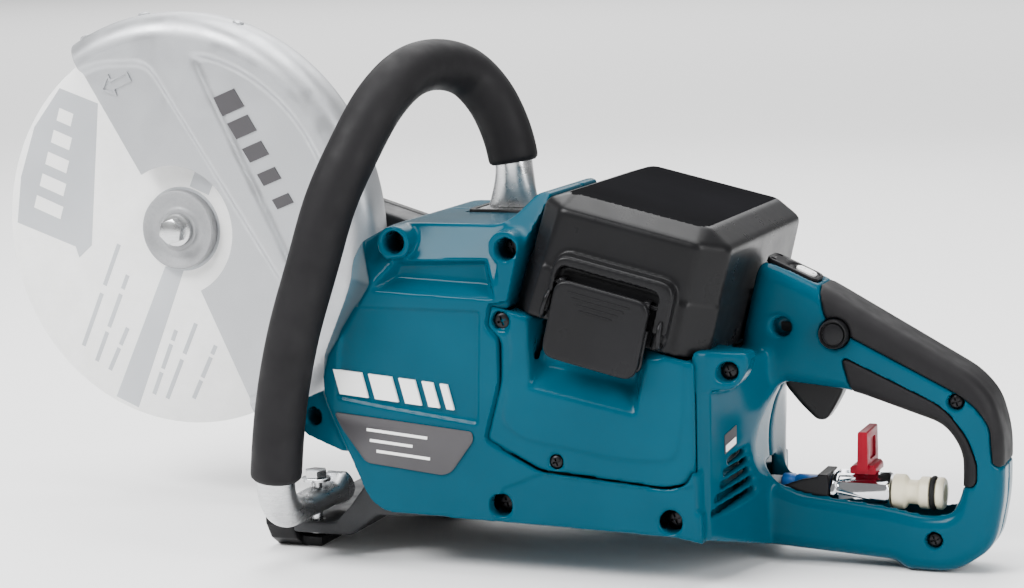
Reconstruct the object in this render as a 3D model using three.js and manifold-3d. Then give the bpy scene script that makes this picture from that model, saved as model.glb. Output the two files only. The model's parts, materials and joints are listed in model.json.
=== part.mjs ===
// Battery power cutter for rescue work, with a 230 mm cutting wheel.
// Millimetres, +Z up. -X is the wheel end, +X the rear handle, -Y the operator's left side.
// The origin is on the floor below the middle of the machine.

import * as THREE from 'three'
import { mergeVertices } from 'three/addons/utils/BufferGeometryUtils.js'
import Module from 'manifold-3d'

const wasm = await Module()
wasm.setup()

// ---------------------------------------------------------------- driving dimensions

const GAP = 0.3
const SPLIT = GAP / 2
const SEGMENTS = 24

const WHEEL_X = -187
const WHEEL_Z = 161
const WHEEL_RADIUS = 115
const WHEEL_FACE = 41
const WHEEL_THICKNESS = 2

const MOTOR_X = 12
const MOTOR_Z = 105
const DRIVE_RADIUS = 14.7
const DRIVEN_RADIUS = 2 * DRIVE_RADIUS
const BELT_NEAR = 88.5
const BELT_FAR = 100.5

const HOUSING_SIDE = 84
const DRIVE_SIDE = 58
const RIGHT_EXTREME = 113.6
const WALL = 3.5

const HANDLE_HALF = 17

const SEAM_X = 80
const SEAM_Z = 135.5
const TILT = THREE.MathUtils.degToRad(13.6)
const COVER_FRONT = -14
const COVER_REAR = 86
const COVER_HEIGHT = 65

const GUARD_RADIUS = 126
const TUBE_RADIUS = 10
const SLEEVE_RADIUS = 13.5

// ---------------------------------------------------------------- materials

const finish = (color, roughness, metalness) => ({ color, roughness, metalness })
const FINISHES = {
  teal: finish(0x00788c, 0.25, 0),
  black: finish(0x1d1d1f, 0.45, 0),
  rubber: finish(0x262527, 0.75, 0),
  steel: finish(0xa9abad, 0.3, 1),
  silver: finish(0xc6c8ca, 0.4, 0.6),
  casting: finish(0x3a3c3f, 0.5, 0.6),
  abrasive: finish(0xe9e9e7, 0.8, 0),
  flange: finish(0x9b9da0, 0.35, 0.9),
  fastener: finish(0x222224, 0.35, 0.9),
  chrome: finish(0xc9ccd0, 0.12, 1),
  red: finish(0xa5122e, 0.35, 0),
  nylon: finish(0xe6dfc4, 0.45, 0),
  blue: finish(0x0f5fae, 0.35, 0),
  hose: finish(0xb9bcc0, 0.5, 0),
  belt: finish(0x161616, 0.85, 0),
  winding: finish(0xa5623a, 0.45, 0.6),
  rotor: finish(0x6d6f72, 0.4, 0.8),
  circuit: finish(0x2d3b33, 0.6, 0),
  contact: finish(0xb08a3e, 0.35, 0.9),
  label: finish(0x4c4a4d, 0.5, 0.1),
  panel: finish(0x141416, 0.2, 0),
  white: finish(0xeeeeec, 0.4, 0),
}

// ---------------------------------------------------------------- solids and placing

function solid(geometry) {
  const bare = geometry.index ? geometry.toNonIndexed() : geometry.clone()
  bare.deleteAttribute('normal')
  bare.deleteAttribute('uv')
  const merged = mergeVertices(bare, 1e-4)
  const mesh = new wasm.Mesh({
    numProp: 3,
    vertProperties: merged.attributes.position.array,
    triVerts: new Uint32Array(merged.index.array),
  })
  return new wasm.Manifold(mesh)
}

function geometryOf(body) {
  const mesh = body.getMesh()
  const geometry = new THREE.BufferGeometry()
  geometry.setAttribute('position', new THREE.BufferAttribute(mesh.vertProperties, 3))
  geometry.setIndex(new THREE.BufferAttribute(mesh.triVerts, 1))
  const flat = geometry.toNonIndexed()
  flat.computeVertexNormals()
  return flat
}

const join = (first, ...others) => others.reduce((sum, other) => sum.add(other), first)
const cut = (first, ...others) => others.reduce((rest, other) => rest.subtract(other), first)

function outline(points, radius = 0) {
  const shape = new THREE.Shape()
  const corners = points.map(([x, z]) => new THREE.Vector2(x, z))
  corners.forEach((corner, i) => {
    const before = corners[(i + corners.length - 1) % corners.length]
    const after = corners[(i + 1) % corners.length]
    const reach = Math.min(radius, corner.distanceTo(before) * 0.45, corner.distanceTo(after) * 0.45)
    const start = corner.clone().add(before.clone().sub(corner).setLength(reach))
    const end = corner.clone().add(after.clone().sub(corner).setLength(reach))
    if (i === 0) shape.moveTo(start.x, start.y)
    else shape.lineTo(start.x, start.y)
    if (radius > 0) shape.quadraticCurveTo(corner.x, corner.y, end.x, end.y)
  })
  shape.closePath()
  return shape
}

// A side profile in X and Z, run from y0 to y1.
function sideways(shape, y0, y1, curveSegments = 3) {
  const geometry = new THREE.ExtrudeGeometry(shape, { depth: y1 - y0, bevelEnabled: false, curveSegments })
  geometry.rotateX(Math.PI / 2)
  geometry.translate(0, y1, 0)
  return solid(geometry)
}

const sidePlate = (points, y0, y1, radius = 0) => sideways(outline(points, radius), y0, y1)

// A plan profile in X and Y, run from z0 to z1.
function upwards(points, z0, z1, radius = 0) {
  const geometry = new THREE.ExtrudeGeometry(outline(points, radius), {
    depth: z1 - z0,
    bevelEnabled: false,
    curveSegments: 3,
  })
  geometry.translate(0, 0, z0)
  return solid(geometry)
}

// A profile in Y and Z, run from x0 to x1.
function acrossX(points, x0, x1) {
  const shape = outline(points)
  const geometry = new THREE.ExtrudeGeometry(shape, { depth: x1 - x0, bevelEnabled: false })
  geometry.rotateX(Math.PI / 2)
  geometry.rotateZ(Math.PI / 2)
  geometry.translate(x0, 0, 0)
  return solid(geometry)
}

function block(x0, x1, y0, y1, z0, z1) {
  const geometry = new THREE.BoxGeometry(x1 - x0, y1 - y0, z1 - z0)
  geometry.translate((x0 + x1) / 2, (y0 + y1) / 2, (z0 + z1) / 2)
  return solid(geometry)
}

// A round bar across the machine, along Y.
function cross(x, z, radius, y0, y1, segments = SEGMENTS) {
  const geometry = new THREE.CylinderGeometry(radius, radius, y1 - y0, segments)
  geometry.translate(x, (y0 + y1) / 2, z)
  return solid(geometry)
}

function upright(x, y, radius, z0, z1, segments = SEGMENTS) {
  const geometry = new THREE.CylinderGeometry(radius, radius, z1 - z0, segments)
  geometry.rotateX(Math.PI / 2)
  geometry.translate(x, y, (z0 + z1) / 2)
  return solid(geometry)
}

function lengthways(y, z, radius, x0, x1, segments = SEGMENTS) {
  const geometry = new THREE.CylinderGeometry(radius, radius, x1 - x0, segments)
  geometry.rotateZ(Math.PI / 2)
  geometry.translate((x0 + x1) / 2, y, z)
  return solid(geometry)
}

// A turned piece on a cross axis: pairs of radius and distance along Y.
function turned(x, z, profile, segments = SEGMENTS) {
  const points = profile.map(([radius, y]) => new THREE.Vector2(radius, y))
  const geometry = new THREE.LatheGeometry(points, segments)
  geometry.translate(x, 0, z)
  return solid(geometry)
}

function ring(x, z, inner, outer, y0, y1, segments = SEGMENTS) {
  return turned(x, z, [[inner, y0], [outer, y0], [outer, y1], [inner, y1], [inner, y0]], segments)
}

function ringUpright(x, y, inner, outer, z0, z1) {
  return upright(x, y, outer, z0, z1, 20).subtract(upright(x, y, inner, z0 - 1, z1 + 1, 12))
}

// The battery bay leans back: s runs down its length, t is square to its seam.
const bay = new THREE.Matrix4().makeRotationY(TILT).setPosition(SEAM_X, 0, SEAM_Z)

function inBay(geometry) {
  geometry.applyMatrix4(bay)
  return solid(geometry)
}

function bayBlock(s0, s1, y0, y1, t0, t1) {
  const geometry = new THREE.BoxGeometry(s1 - s0, y1 - y0, t1 - t0)
  geometry.translate((s0 + s1) / 2, (y0 + y1) / 2, (t0 + t1) / 2)
  return inBay(geometry)
}

function bayRod(radius, s0, s1, y, t, segments = 12) {
  const geometry = new THREE.CylinderGeometry(radius, radius, s1 - s0, segments)
  geometry.rotateZ(Math.PI / 2)
  geometry.translate((s0 + s1) / 2, y, t)
  return inBay(geometry)
}

// A plate facing sideways in the leaning frame: points are (s, t).
function bayPlate(points, y0, y1, radius = 0) {
  const geometry = new THREE.ExtrudeGeometry(outline(points, radius), {
    depth: y1 - y0,
    bevelEnabled: false,
    curveSegments: 3,
  })
  geometry.rotateX(Math.PI / 2)
  geometry.translate(0, y1, 0)
  return inBay(geometry)
}

// A closed skin around eight corners, top and bottom rings of equal point count.
function frustum(rings) {
  const count = rings[0].length
  const positions = rings.flat(2)
  const faces = []
  for (let level = 0; level < rings.length - 1; level += 1) {
    for (let i = 0; i < count; i += 1) {
      const a = level * count + i
      const b = level * count + ((i + 1) % count)
      faces.push(a, b, b + count, a, b + count, a + count)
    }
  }
  for (let i = 1; i < count - 1; i += 1) {
    faces.push(0, i + 1, i)
    const top = (rings.length - 1) * count
    faces.push(top, top + i, top + i + 1)
  }
  const geometry = new THREE.BufferGeometry()
  geometry.setAttribute('position', new THREE.Float32BufferAttribute(positions, 3))
  geometry.setIndex(faces)
  return geometry
}

// A round bar along a curve.
function bar(points, radius, steps, sides = 12) {
  const curve = new THREE.CatmullRomCurve3(points.map((p) => new THREE.Vector3(...p)), false, 'centripetal')
  const section = new THREE.Shape()
  section.absarc(0, 0, radius, 0, Math.PI * 2)
  const geometry = new THREE.ExtrudeGeometry(section, {
    steps,
    curveSegments: sides,
    extrudePath: curve,
    bevelEnabled: false,
  })
  return solid(geometry)
}

const group = new THREE.Group()

function add(name, finishName, body) {
  const look = FINISHES[finishName]
  const mesh = new THREE.Mesh(geometryOf(body), new THREE.MeshStandardMaterial(look))
  mesh.name = name
  group.add(mesh)
}

// A polygon moved in by a distance on every side, or out where the distance is negative.
function inset(points, distance) {
  const area = points.reduce((sum, [x, z], i) => {
    const [nextX, nextZ] = points[(i + 1) % points.length]
    return sum + x * nextZ - nextX * z
  }, 0)
  const turn = area > 0 ? 1 : -1
  const lines = points.map((point, i) => {
    const a = new THREE.Vector2(...point)
    const along = new THREE.Vector2(...points[(i + 1) % points.length]).sub(a).normalize()
    const inward = new THREE.Vector2(-along.y, along.x).multiplyScalar(turn * distance)
    return { start: a.add(inward), along }
  })
  return lines.map((line, i) => {
    const before = lines[(i + lines.length - 1) % lines.length]
    const spread = before.along.cross(line.along)
    if (Math.abs(spread) < 1e-3) return line.start.toArray()
    const reach = line.start.clone().sub(before.start).cross(line.along) / spread
    return before.start.clone().addScaledVector(before.along, reach).toArray()
  })
}

// ---------------------------------------------------------------- main housing halves

// The motor end of the housing, seen from the left side.
const MOTOR_BLOCK = [
  [-42, 112], [-40, 90], [-17, 38], [-8, 31], [57.7, 29.2], [57.7, 139.4], [63, 139.4],
  [77, 196], [69, 196], [60, 184.5], [54, 181], [-4, 181], [-22, 171], [-31, 160], [-33, 142],
]
const LOWER_STRIP = [[50, 29.2], [150, 26.5], [164, 24], [164, 39.4], [57.7, 46.7], [50, 46.7]]
const STRIP_BAY = [[54, 33], [150, 30], [160.5, 28], [160.5, 45], [54, 50]]

// The rear handle is a closed D.
const HANDLE_OUTLINE = [
  [164.6, 12], [172, 9], [246, 4.5], [252, 0], [277, 0], [297, 14], [302, 40], [302, 72],
  [296.5, 91], [286, 102.5], [209, 145.5], [175.8, 160.5], [165.2, 117],
]
const HANDLE_OPENING = [
  [187, 95.5], [224, 92], [272, 76.5], [281, 63], [281, 43], [276, 31], [262, 29.5], [244, 33],
  [196, 38], [182, 44.5], [177.2, 54], [177.2, 70], [181, 86],
]
const SKIN = 2.6
const CORE_WALL = 2.8

// The upper overmould wraps the top of the handle, the lower one lines the inside of the D.
const UPPER_GRIP_ZONE = [
  [206.5, 151], [211, 129], [220.5, 125.5], [223.5, 120.5], [279, 93], [288, 86.5], [295, 77],
  [296.5, 56], [308, 57], [308, 75], [300, 97], [289, 109], [212, 151],
]
const LOWER_GRIP_ZONE = [
  [219, 110.5], [226, 86], [270, 70], [275, 60], [275, 43.5], [288.8, 46], [289, 57], [284, 70.5],
  [275, 82.5], [268, 88],
]

const TROUGH_HALF = 12
const LOCK_OFF_X = 216
const LOCK_OFF_Z = 122
const LOCK_OFF_RADIUS = 7.6
const TRIGGER_PIN_X = 193
const TRIGGER_PIN_Z = 103
const GRIP_SCREWS = { grip_screw_upper: [278, 89], grip_screw_lower: [267, 17] }
const BEARING_OUTER = 16
const BEARING_SEAT = BEARING_OUTER + GAP
const SHAFT_RADIUS = 6
const SPINDLE_RADIUS = 7.7
const HOSE_RADIUS = 4
const HOSE_EXIT = [70, 40]

// The display panel lies on the front of the handle's top edge.
const PANEL_START = new THREE.Vector2(175.8, 160.5)
const PANEL_ALONG = new THREE.Vector2(209 - 175.8, 145.5 - 160.5).normalize()
const PANEL_OUT = new THREE.Vector2(-PANEL_ALONG.y, PANEL_ALONG.x)
function onPanel(u, v) {
  return PANEL_START.clone().addScaledVector(PANEL_ALONG, u).addScaledVector(PANEL_OUT, v).toArray()
}
const panelStrip = (u0, u1, v0, v1) => [
  onPanel(u0, v0), onPanel(u1, v0), onPanel(u1, v1), onPanel(u0, v1),
]

function handleLoop(half, depth) {
  const outer = sidePlate(inset(HANDLE_OUTLINE, depth), -half, half)
  return outer.subtract(sidePlate(inset(HANDLE_OPENING, -depth), -half - 1, half + 1))
}

function gripZones(margin) {
  const upper = sidePlate(inset(UPPER_GRIP_ZONE, margin), -40, 40)
  return upper.add(sidePlate(inset(LOWER_GRIP_ZONE, margin), -40, 40))
}

const SCREW_RADIUS = 2
const SCREW_HEAD_RADIUS = 3.6

// The sloping shoulders of the motor block: the side face leans in towards the top.
function shoulders(side, face, depth) {
  const slope = (x0, x1, foot, rise, run) => {
    const points = [
      [face - run, foot + rise], [face - run, 230], [face + 20, 230], [face + 20, foot], [face, foot],
    ]
    return acrossX(points.map(([y, z]) => [side * y, z]), x0, x1)
  }
  const both = slope(-60, 58, 152, 30, 18).add(slope(57, 90, 166, 30, 36))
  return both.translate([0, -side * depth * 0.86, -depth * 0.52])
}

function shellHalf(side) {
  const span = (near, far) => (side < 0 ? [-far, -near] : [near, far])
  const lay = (points) => points.map(([x, y]) => [x, side * y])
  const motorSide = side < 0 ? HOUSING_SIDE : DRIVE_SIDE
  const flank = [[160.8, 79], [166, 72], [174, 45], [181, 17], [184, 12], [184, SPLIT], [160.8, SPLIT]]
  const root = upwards(lay(flank), 25, 112)
  const handle = sidePlate(HANDLE_OUTLINE, ...span(SPLIT, HANDLE_HALF), 4)
  const outside = join(
    sidePlate(MOTOR_BLOCK, ...span(SPLIT, motorSide), 3),
    sidePlate(LOWER_STRIP, ...span(SPLIT, HOUSING_SIDE)),
    root,
    handle,
  )
    .subtract(sidePlate(HANDLE_OPENING, -HANDLE_HALF * 2, HANDLE_HALF * 2, 4))
    .subtract(shoulders(side, motorSide, 0))
  const hollow = join(
    sidePlate(inset(MOTOR_BLOCK, 4), ...span(-1, motorSide - 4)).subtract(shoulders(side, motorSide, 4.5)),
    sidePlate(STRIP_BAY, ...span(-1, HOUSING_SIDE - WALL)),
    upwards(lay([[163.6, 75], [169, 44], [173.5, 14], [173.5, -1], [163.6, -1]]), 30, 108),
    handleLoop(HANDLE_HALF - SKIN - CORE_WALL - 1, SKIN + CORE_WALL),
  )
  const depth = span(SPLIT, HANDLE_HALF - 3)
  const bosses = Object.values(GRIP_SCREWS).map(([x, z]) => cross(x, z, 5, ...depth, 12))
  let shell = join(outside.subtract(hollow), ...bosses)
  const core = handleLoop(HANDLE_HALF - SKIN - 1, SKIN)
  shell = shell.subtract(gripZones(0).subtract(core))
  if (side < 0) {
    shell = shell.add(ring(MOTOR_X, MOTOR_Z, BEARING_SEAT, BEARING_SEAT + 4, -HOUSING_SIDE + 3, -64))
  } else {
    shell = shell.subtract(cross(MOTOR_X, MOTOR_Z, 20, 40, 70))
    shell = shell.subtract(lengthways(...HOSE_EXIT, HOSE_RADIUS + 1, 40, 60, 12))
  }
  return cut(
    shell,
    bayBlock(COVER_FRONT - 3.7, COVER_REAR + 0.8, -90, 90, -0.4, 90),
    block(196, 277, -TROUGH_HALF, TROUGH_HALF, 22.5, 50),
    block(150, 200, -TROUGH_HALF, TROUGH_HALF, 30, 52),
    block(150, 168, -TROUGH_HALF, 18, 30, 48),
    block(184, 224, -7.6, 7.6, 84, 118),
    cross(LOCK_OFF_X, LOCK_OFF_Z, LOCK_OFF_RADIUS + 0.5, -30, 30),
    cross(LOCK_OFF_X, LOCK_OFF_Z, LOCK_OFF_RADIUS + 2.4, -11, 11),
    sidePlate(panelStrip(2.7, 32.3, -2.5, 6), -10.3, 10.3),
    block(14, 59, -16, 26, 179, 190),
    ...Object.values(GRIP_SCREWS).flatMap(([x, z]) => [
      cross(x, z, SCREW_RADIUS + GAP, -20, 12, 12),
      cross(x, z, SCREW_HEAD_RADIUS + 0.7, -20, -12, 16),
    ]),
  )
}

add('left_housing', 'teal', shellHalf(-1))
add('right_housing', 'teal', shellHalf(1))

function overmould(zone) {
  const loop = handleLoop(HANDLE_HALF + 0.8, 0)
  const core = handleLoop(HANDLE_HALF - SKIN - 1 + GAP, SKIN - GAP)
  const piece = loop.subtract(core).intersect(sidePlate(inset(zone, GAP), -40, 40))
  return piece.subtract(cross(LOCK_OFF_X, LOCK_OFF_Z, LOCK_OFF_RADIUS + 0.5, -30, 30))
}

add('grip_upper', 'rubber', overmould(UPPER_GRIP_ZONE))
add('grip_lower', 'rubber', overmould(LOWER_GRIP_ZONE))

for (const [name, [x, z]] of Object.entries(GRIP_SCREWS)) {
  const head = cross(x, z, SCREW_HEAD_RADIUS, -15, -12.3, 16)
  add(name, 'fastener', head.add(cross(x, z, SCREW_RADIUS, -12.5, 11.5, 12)))
}

const NAMEPLATE = [[-34.5, 83], [43, 76], [43.5, 71.5], [31, 54.5], [26, 52.5], [-17, 57], [-30.5, 75]]
add('nameplate', 'label', sidePlate(NAMEPLATE, -HOUSING_SIDE - 0.9, -HOUSING_SIDE - GAP, 2))

// ---------------------------------------------------------------- battery case and packs

const CASE_OUTLINE = [
  [58, 47.1], [160.4, 40.1], [160.4, 115.7], [65.3, 138.7], [60.8, 138.7], [58, 136.2],
]
const PACK_BASE = -62
const PACK_TOP = 45
const PACK_S = [1, 76]
const PACK_Y = [1.5, 67]
const KNUCKLE_RADIUS = 4
const HINGE_PIN_RADIUS = 1.8
const HINGE_LINE_Y = 88.8

function hingeKnuckle(s0, s1, wallY, t0, t1) {
  const barrel = bayRod(KNUCKLE_RADIUS, s0, s1, HINGE_LINE_Y, 0, 16)
  const arm = bayBlock(s0, s1, wallY, HINGE_LINE_Y, t0, t1)
  return barrel.add(arm)
}

function batteryCase() {
  const shell = sidePlate(CASE_OUTLINE, -HOUSING_SIDE, HOUSING_SIDE)
  const floorRoom = [[62, 30], [156.5, 30], [156.5, 54.5], [62, 77]]
  const knuckles = [[8, 19.5], [50.5, 62]].map(([s0, s1]) => hingeKnuckle(s0, s1, 82, -3.9, -1))
  return cut(
    join(shell, ...knuckles),
    bayBlock(-1.2, 78.2, -79, 79, PACK_BASE - 0.6, 30),
    sidePlate(floorRoom, -80.5, 80.5),
    bayPlate([[10, -32], [56, -32], [60, 12], [6, 12]], -90, -80.4, 3),
    block(150, 170, -14, 34, 30, 50),
    bayRod(HINGE_PIN_RADIUS + GAP, 0, 70, HINGE_LINE_Y, 0),
    bayBlock(19.6, 50.4, 84.1, 100, -8, 8),
  )
}

add('battery_case', 'teal', batteryCase())

for (const [name, side] of [['left', -1], ['right', 1]]) {
  const span = (near, far) => (side < 0 ? [-far, -near] : [near, far])
  const pack = cut(
    bayBlock(...PACK_S, ...span(...PACK_Y), PACK_BASE, PACK_TOP),
    bayBlock(PACK_S[0] + 20, PACK_S[1] - 20, ...span(PACK_Y[0] + 18, PACK_Y[1] - 18), PACK_TOP - 3, PACK_TOP + 5),
    bayBlock(PACK_S[0] - 2, PACK_S[0] + 6, ...span(PACK_Y[0] - 2, PACK_Y[0] + 8), -20, PACK_TOP + 5),
    bayBlock(PACK_S[0] - 2, PACK_S[0] + 6, ...span(PACK_Y[1] - 8, PACK_Y[1] + 2), -20, PACK_TOP + 5),
  )
  add(`battery_pack_${name}`, 'black', pack)
  add(`battery_terminal_${name}`, 'contact', bayBlock(22, 58, ...span(67.5, 78.6), -60, -30))
}

add('controller', 'circuit', block(74, 134, -58, 20, 34.3, 54))

// ---------------------------------------------------------------- battery cover and latch

const COVER_LOW = [
  [-17, -68], [-6.4, -81], [73, -81], [86, -68], [86, 68], [73, 81], [-6.4, 81], [-17, 68],
]
const COVER_MID = [
  [-14.5, -66], [-1, -80], [72.3, -80], [86, -67], [86, 67], [72.3, 80], [-1, 80], [-14.5, 66],
]
const COVER_TOP = [[-1, -64], [1, -66], [70, -66], [71.7, -64], [71.7, 64], [70, 66], [1, 66], [-1, 64]]
const COVER_SKIN = 2.8

function coverRings(margin, foot) {
  const level = (points, t) => inset(points, margin).map(([s, y]) => [s, y, t])
  return [
    level(COVER_LOW, foot),
    level(COVER_MID, 57.5 - margin * 0.5),
    level(COVER_TOP, COVER_HEIGHT - margin),
  ]
}

const LATCH_S = [7, 58]
const LATCH_T = [-16, 25]
const LATCH_FACE = -91.5
const LATCH_BACK = -87.4
const LATCH_PIVOT_T = 22.2
const LATCH_PIVOT_Y = -84.6
const LATCH_PIN_RADIUS = 1.5

function latchRib() {
  const outer = bayPlate([[2.8, 0.6], [2.8, 36.5], [68, 36.5], [68, 0.6]], -88, -78.5, 9)
  const inner = bayPlate([[6, -20], [6, 31], [60.6, 31], [60.6, -20]], -95, -70, 5)
  return outer.subtract(inner)
}

function batteryCover() {
  const outer = inBay(frustum(coverRings(0, 0.15)))
  const inner = inBay(frustum(coverRings(COVER_SKIN, -3)))
  return cut(
    join(outer.subtract(inner), latchRib(), hingeKnuckle(20, 50, 79.5, 1.2, 4)),
    bayRod(LATCH_PIN_RADIUS + GAP, 3.9, 67, LATCH_PIVOT_Y, LATCH_PIVOT_T),
    bayRod(HINGE_PIN_RADIUS + GAP, 0, 70, HINGE_LINE_Y, 0),
  )
}

add('battery_cover', 'black', batteryCover())
add('cover_hinge_pin', 'fastener', bayRod(HINGE_PIN_RADIUS, 6, 64, HINGE_LINE_Y, 0))

function latchLever() {
  const [s0, s1] = LATCH_S
  const [t0, t1] = LATCH_T
  const plate = bayPlate([[s0, t0], [s1, t0], [s1, t1], [s0, t1]], LATCH_FACE, LATCH_BACK, 7)
  const sides = [[s0 + 1, s0 + 4], [s1 - 4, s1 - 1]]
  const ears = sides.map(([a, b]) => bayBlock(a, b, LATCH_BACK - 1, -82, 18, LATCH_T[1]))
  const bore = bayRod(LATCH_PIN_RADIUS + GAP, 0, 70, LATCH_PIVOT_Y, LATCH_PIVOT_T)
  return join(plate, ...ears).subtract(bore)
}

add('latch_lever', 'black', latchLever())
add('latch_pin', 'fastener', bayRod(LATCH_PIN_RADIUS, 4.3, 66.6, LATCH_PIVOT_Y, LATCH_PIVOT_T))

const BAIL_RADIUS = 1.2
const BAIL_Y = -85.7

function latchBail() {
  const at = (s, t) => new THREE.Vector3(s, BAIL_Y, t).applyMatrix4(bay).toArray()
  const corners = [
    [7.6, 10], [7.6, -2], [7.6, -9.5], [10, -11.5], [33, -12], [55, -11.5], [57.4, -9.5],
    [57.4, -2], [57.4, 10],
  ]
  return bar(corners.map(([s, t]) => at(s, t)), BAIL_RADIUS, 20, 3)
}

add('latch_bail', 'fastener', latchBail())

// ---------------------------------------------------------------- motor

add('motor_stator', 'winding', ring(MOTOR_X, MOTOR_Z, 22, 39.5, -54, 4))
add('rotor_core', 'rotor', ring(MOTOR_X, MOTOR_Z, SHAFT_RADIUS + GAP, 21.2, -54, 4))
add('rotor_shaft', 'steel', cross(MOTOR_X, MOTOR_Z, SHAFT_RADIUS, -74, 103))
add('motor_bearing_left', 'steel', ring(MOTOR_X, MOTOR_Z, SHAFT_RADIUS + GAP, BEARING_OUTER, -73, -65))
add('motor_bearing_right', 'steel', ring(MOTOR_X, MOTOR_Z, SHAFT_RADIUS + GAP, BEARING_OUTER, 62, 72))

const FAN_RADIUS = 36
const FAN_BLADES = 9

function coolingFan() {
  const disc = ring(MOTOR_X, MOTOR_Z, SHAFT_RADIUS + GAP, FAN_RADIUS, 26, 28.5)
  const hub = ring(MOTOR_X, MOTOR_Z, SHAFT_RADIUS + GAP, 12, 26, 40)
  const blades = Array.from({ length: FAN_BLADES }, (_, i) => {
    const geometry = new THREE.BoxGeometry(21, 10, 1.8)
    geometry.translate(24, 33, 0)
    geometry.rotateY((i / FAN_BLADES) * Math.PI * 2)
    geometry.translate(MOTOR_X, 0, MOTOR_Z)
    return solid(geometry)
  })
  return join(disc, hub, ...blades)
}

add('cooling_fan', 'black', coolingFan())

// ---------------------------------------------------------------- belt drive and arm

const PULLEY_NEAR = 87
const PULLEY_FAR = 102
const FLANGE_RIM = 2.6

function drivePulley() {
  const flangeRadius = DRIVE_RADIUS + FLANGE_RIM
  return turned(MOTOR_X, MOTOR_Z, [
    [SHAFT_RADIUS + GAP, PULLEY_NEAR], [flangeRadius, PULLEY_NEAR], [flangeRadius, BELT_NEAR - GAP],
    [DRIVE_RADIUS, BELT_NEAR - GAP], [DRIVE_RADIUS, BELT_FAR + GAP], [flangeRadius, BELT_FAR + GAP],
    [flangeRadius, PULLEY_FAR], [SHAFT_RADIUS + GAP, PULLEY_FAR], [SHAFT_RADIUS + GAP, PULLEY_NEAR],
  ])
}

function drivenPulley() {
  const rim = DRIVEN_RADIUS - 4
  return turned(WHEEL_X, WHEEL_Z, [
    [SPINDLE_RADIUS + GAP, PULLEY_NEAR], [14, PULLEY_NEAR], [14, 92], [rim, 92], [rim, PULLEY_NEAR],
    [DRIVEN_RADIUS, PULLEY_NEAR], [DRIVEN_RADIUS, PULLEY_FAR], [rim, PULLEY_FAR], [rim, 97], [14, 97],
    [14, PULLEY_FAR], [SPINDLE_RADIUS + GAP, PULLEY_FAR], [SPINDLE_RADIUS + GAP, PULLEY_NEAR],
  ])
}

add('drive_pulley', 'steel', drivePulley())
add('driven_pulley', 'steel', drivenPulley())

// The shape of a belt round two circles, one on each axis.
function beltShape(wheelEnd, motorEnd) {
  const away = new THREE.Vector2(MOTOR_X - WHEEL_X, MOTOR_Z - WHEEL_Z)
  const lean = Math.atan2(away.y, away.x)
  const open = Math.acos((wheelEnd - motorEnd) / away.length())
  const shape = new THREE.Shape()
  shape.absarc(WHEEL_X, WHEEL_Z, wheelEnd, lean + open, lean - open + Math.PI * 2, false)
  shape.absarc(MOTOR_X, MOTOR_Z, motorEnd, lean - open, lean + open, false)
  shape.closePath()
  return shape
}

const beltRun = (wheelEnd, motorEnd, y0, y1) => sideways(beltShape(wheelEnd, motorEnd), y0, y1, 10)
const beltLoop = (wheelEnd, motorEnd, wall, y0, y1) =>
  beltRun(wheelEnd, motorEnd, y0, y1).subtract(beltRun(wheelEnd - wall, motorEnd - wall, y0 - 1, y1 + 1))

const BELT_THICKNESS = 3.2
const beltOver = GAP + BELT_THICKNESS
const beltRadii = [DRIVEN_RADIUS + beltOver, DRIVE_RADIUS + beltOver]
add('drive_belt', 'belt', beltLoop(...beltRadii, BELT_THICKNESS, BELT_NEAR, BELT_FAR))

const ARM_WHEEL_END = 40
const ARM_MOTOR_END = 35
const ARM_FACE = 80
const ARM_FLOOR = 84
const ARM_RIM = 104
const SPINDLE_TUBE = 23

function armHousing() {
  const floor = beltRun(ARM_WHEEL_END, ARM_MOTOR_END, ARM_FACE, ARM_FLOOR)
  const wall = beltLoop(ARM_WHEEL_END, ARM_MOTOR_END, WALL, ARM_FLOOR - 1, ARM_RIM)
  const tube = cross(WHEEL_X, WHEEL_Z, SPINDLE_TUBE, 52.5, ARM_FACE + 1)
  const flange = cross(MOTOR_X, MOTOR_Z, ARM_MOTOR_END, DRIVE_SIDE + GAP, ARM_FACE + 1)
  return cut(
    join(floor, wall, tube, flange),
    cross(WHEEL_X, WHEEL_Z, 11, 40, 100),
    cross(WHEEL_X, WHEEL_Z, BEARING_SEAT, 54.7, 100),
    cross(MOTOR_X, MOTOR_Z, 11, 40, 100),
    cross(MOTOR_X, MOTOR_Z, BEARING_SEAT, 40, 74),
  )
}

add('arm_housing', 'casting', armHousing())
add('belt_cover', 'black', join(
  beltRun(ARM_WHEEL_END, ARM_MOTOR_END, 110.5, RIGHT_EXTREME),
  beltLoop(ARM_WHEEL_END, ARM_MOTOR_END, WALL, ARM_RIM + GAP, 111),
))

// ---------------------------------------------------------------- spindle, wheel and flanges

function spindle() {
  const shaft = cross(WHEEL_X, WHEEL_Z, SPINDLE_RADIUS, 41.5, 103.5)
  return shaft.subtract(cross(WHEEL_X, WHEEL_Z, 4.3, 30, 62, 16))
}

add('spindle', 'steel', spindle())
add('spindle_bearing_wheel', 'steel', ring(WHEEL_X, WHEEL_Z, SPINDLE_RADIUS + GAP, BEARING_OUTER, 55, 64))
add('spindle_bearing_belt', 'steel', ring(WHEEL_X, WHEEL_Z, SPINDLE_RADIUS + GAP, BEARING_OUTER, 72, 81))

const FLANGE_RADIUS = 23
const WHEEL_BACK = WHEEL_FACE + WHEEL_THICKNESS
const BORE_RADIUS = 11.1

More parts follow.
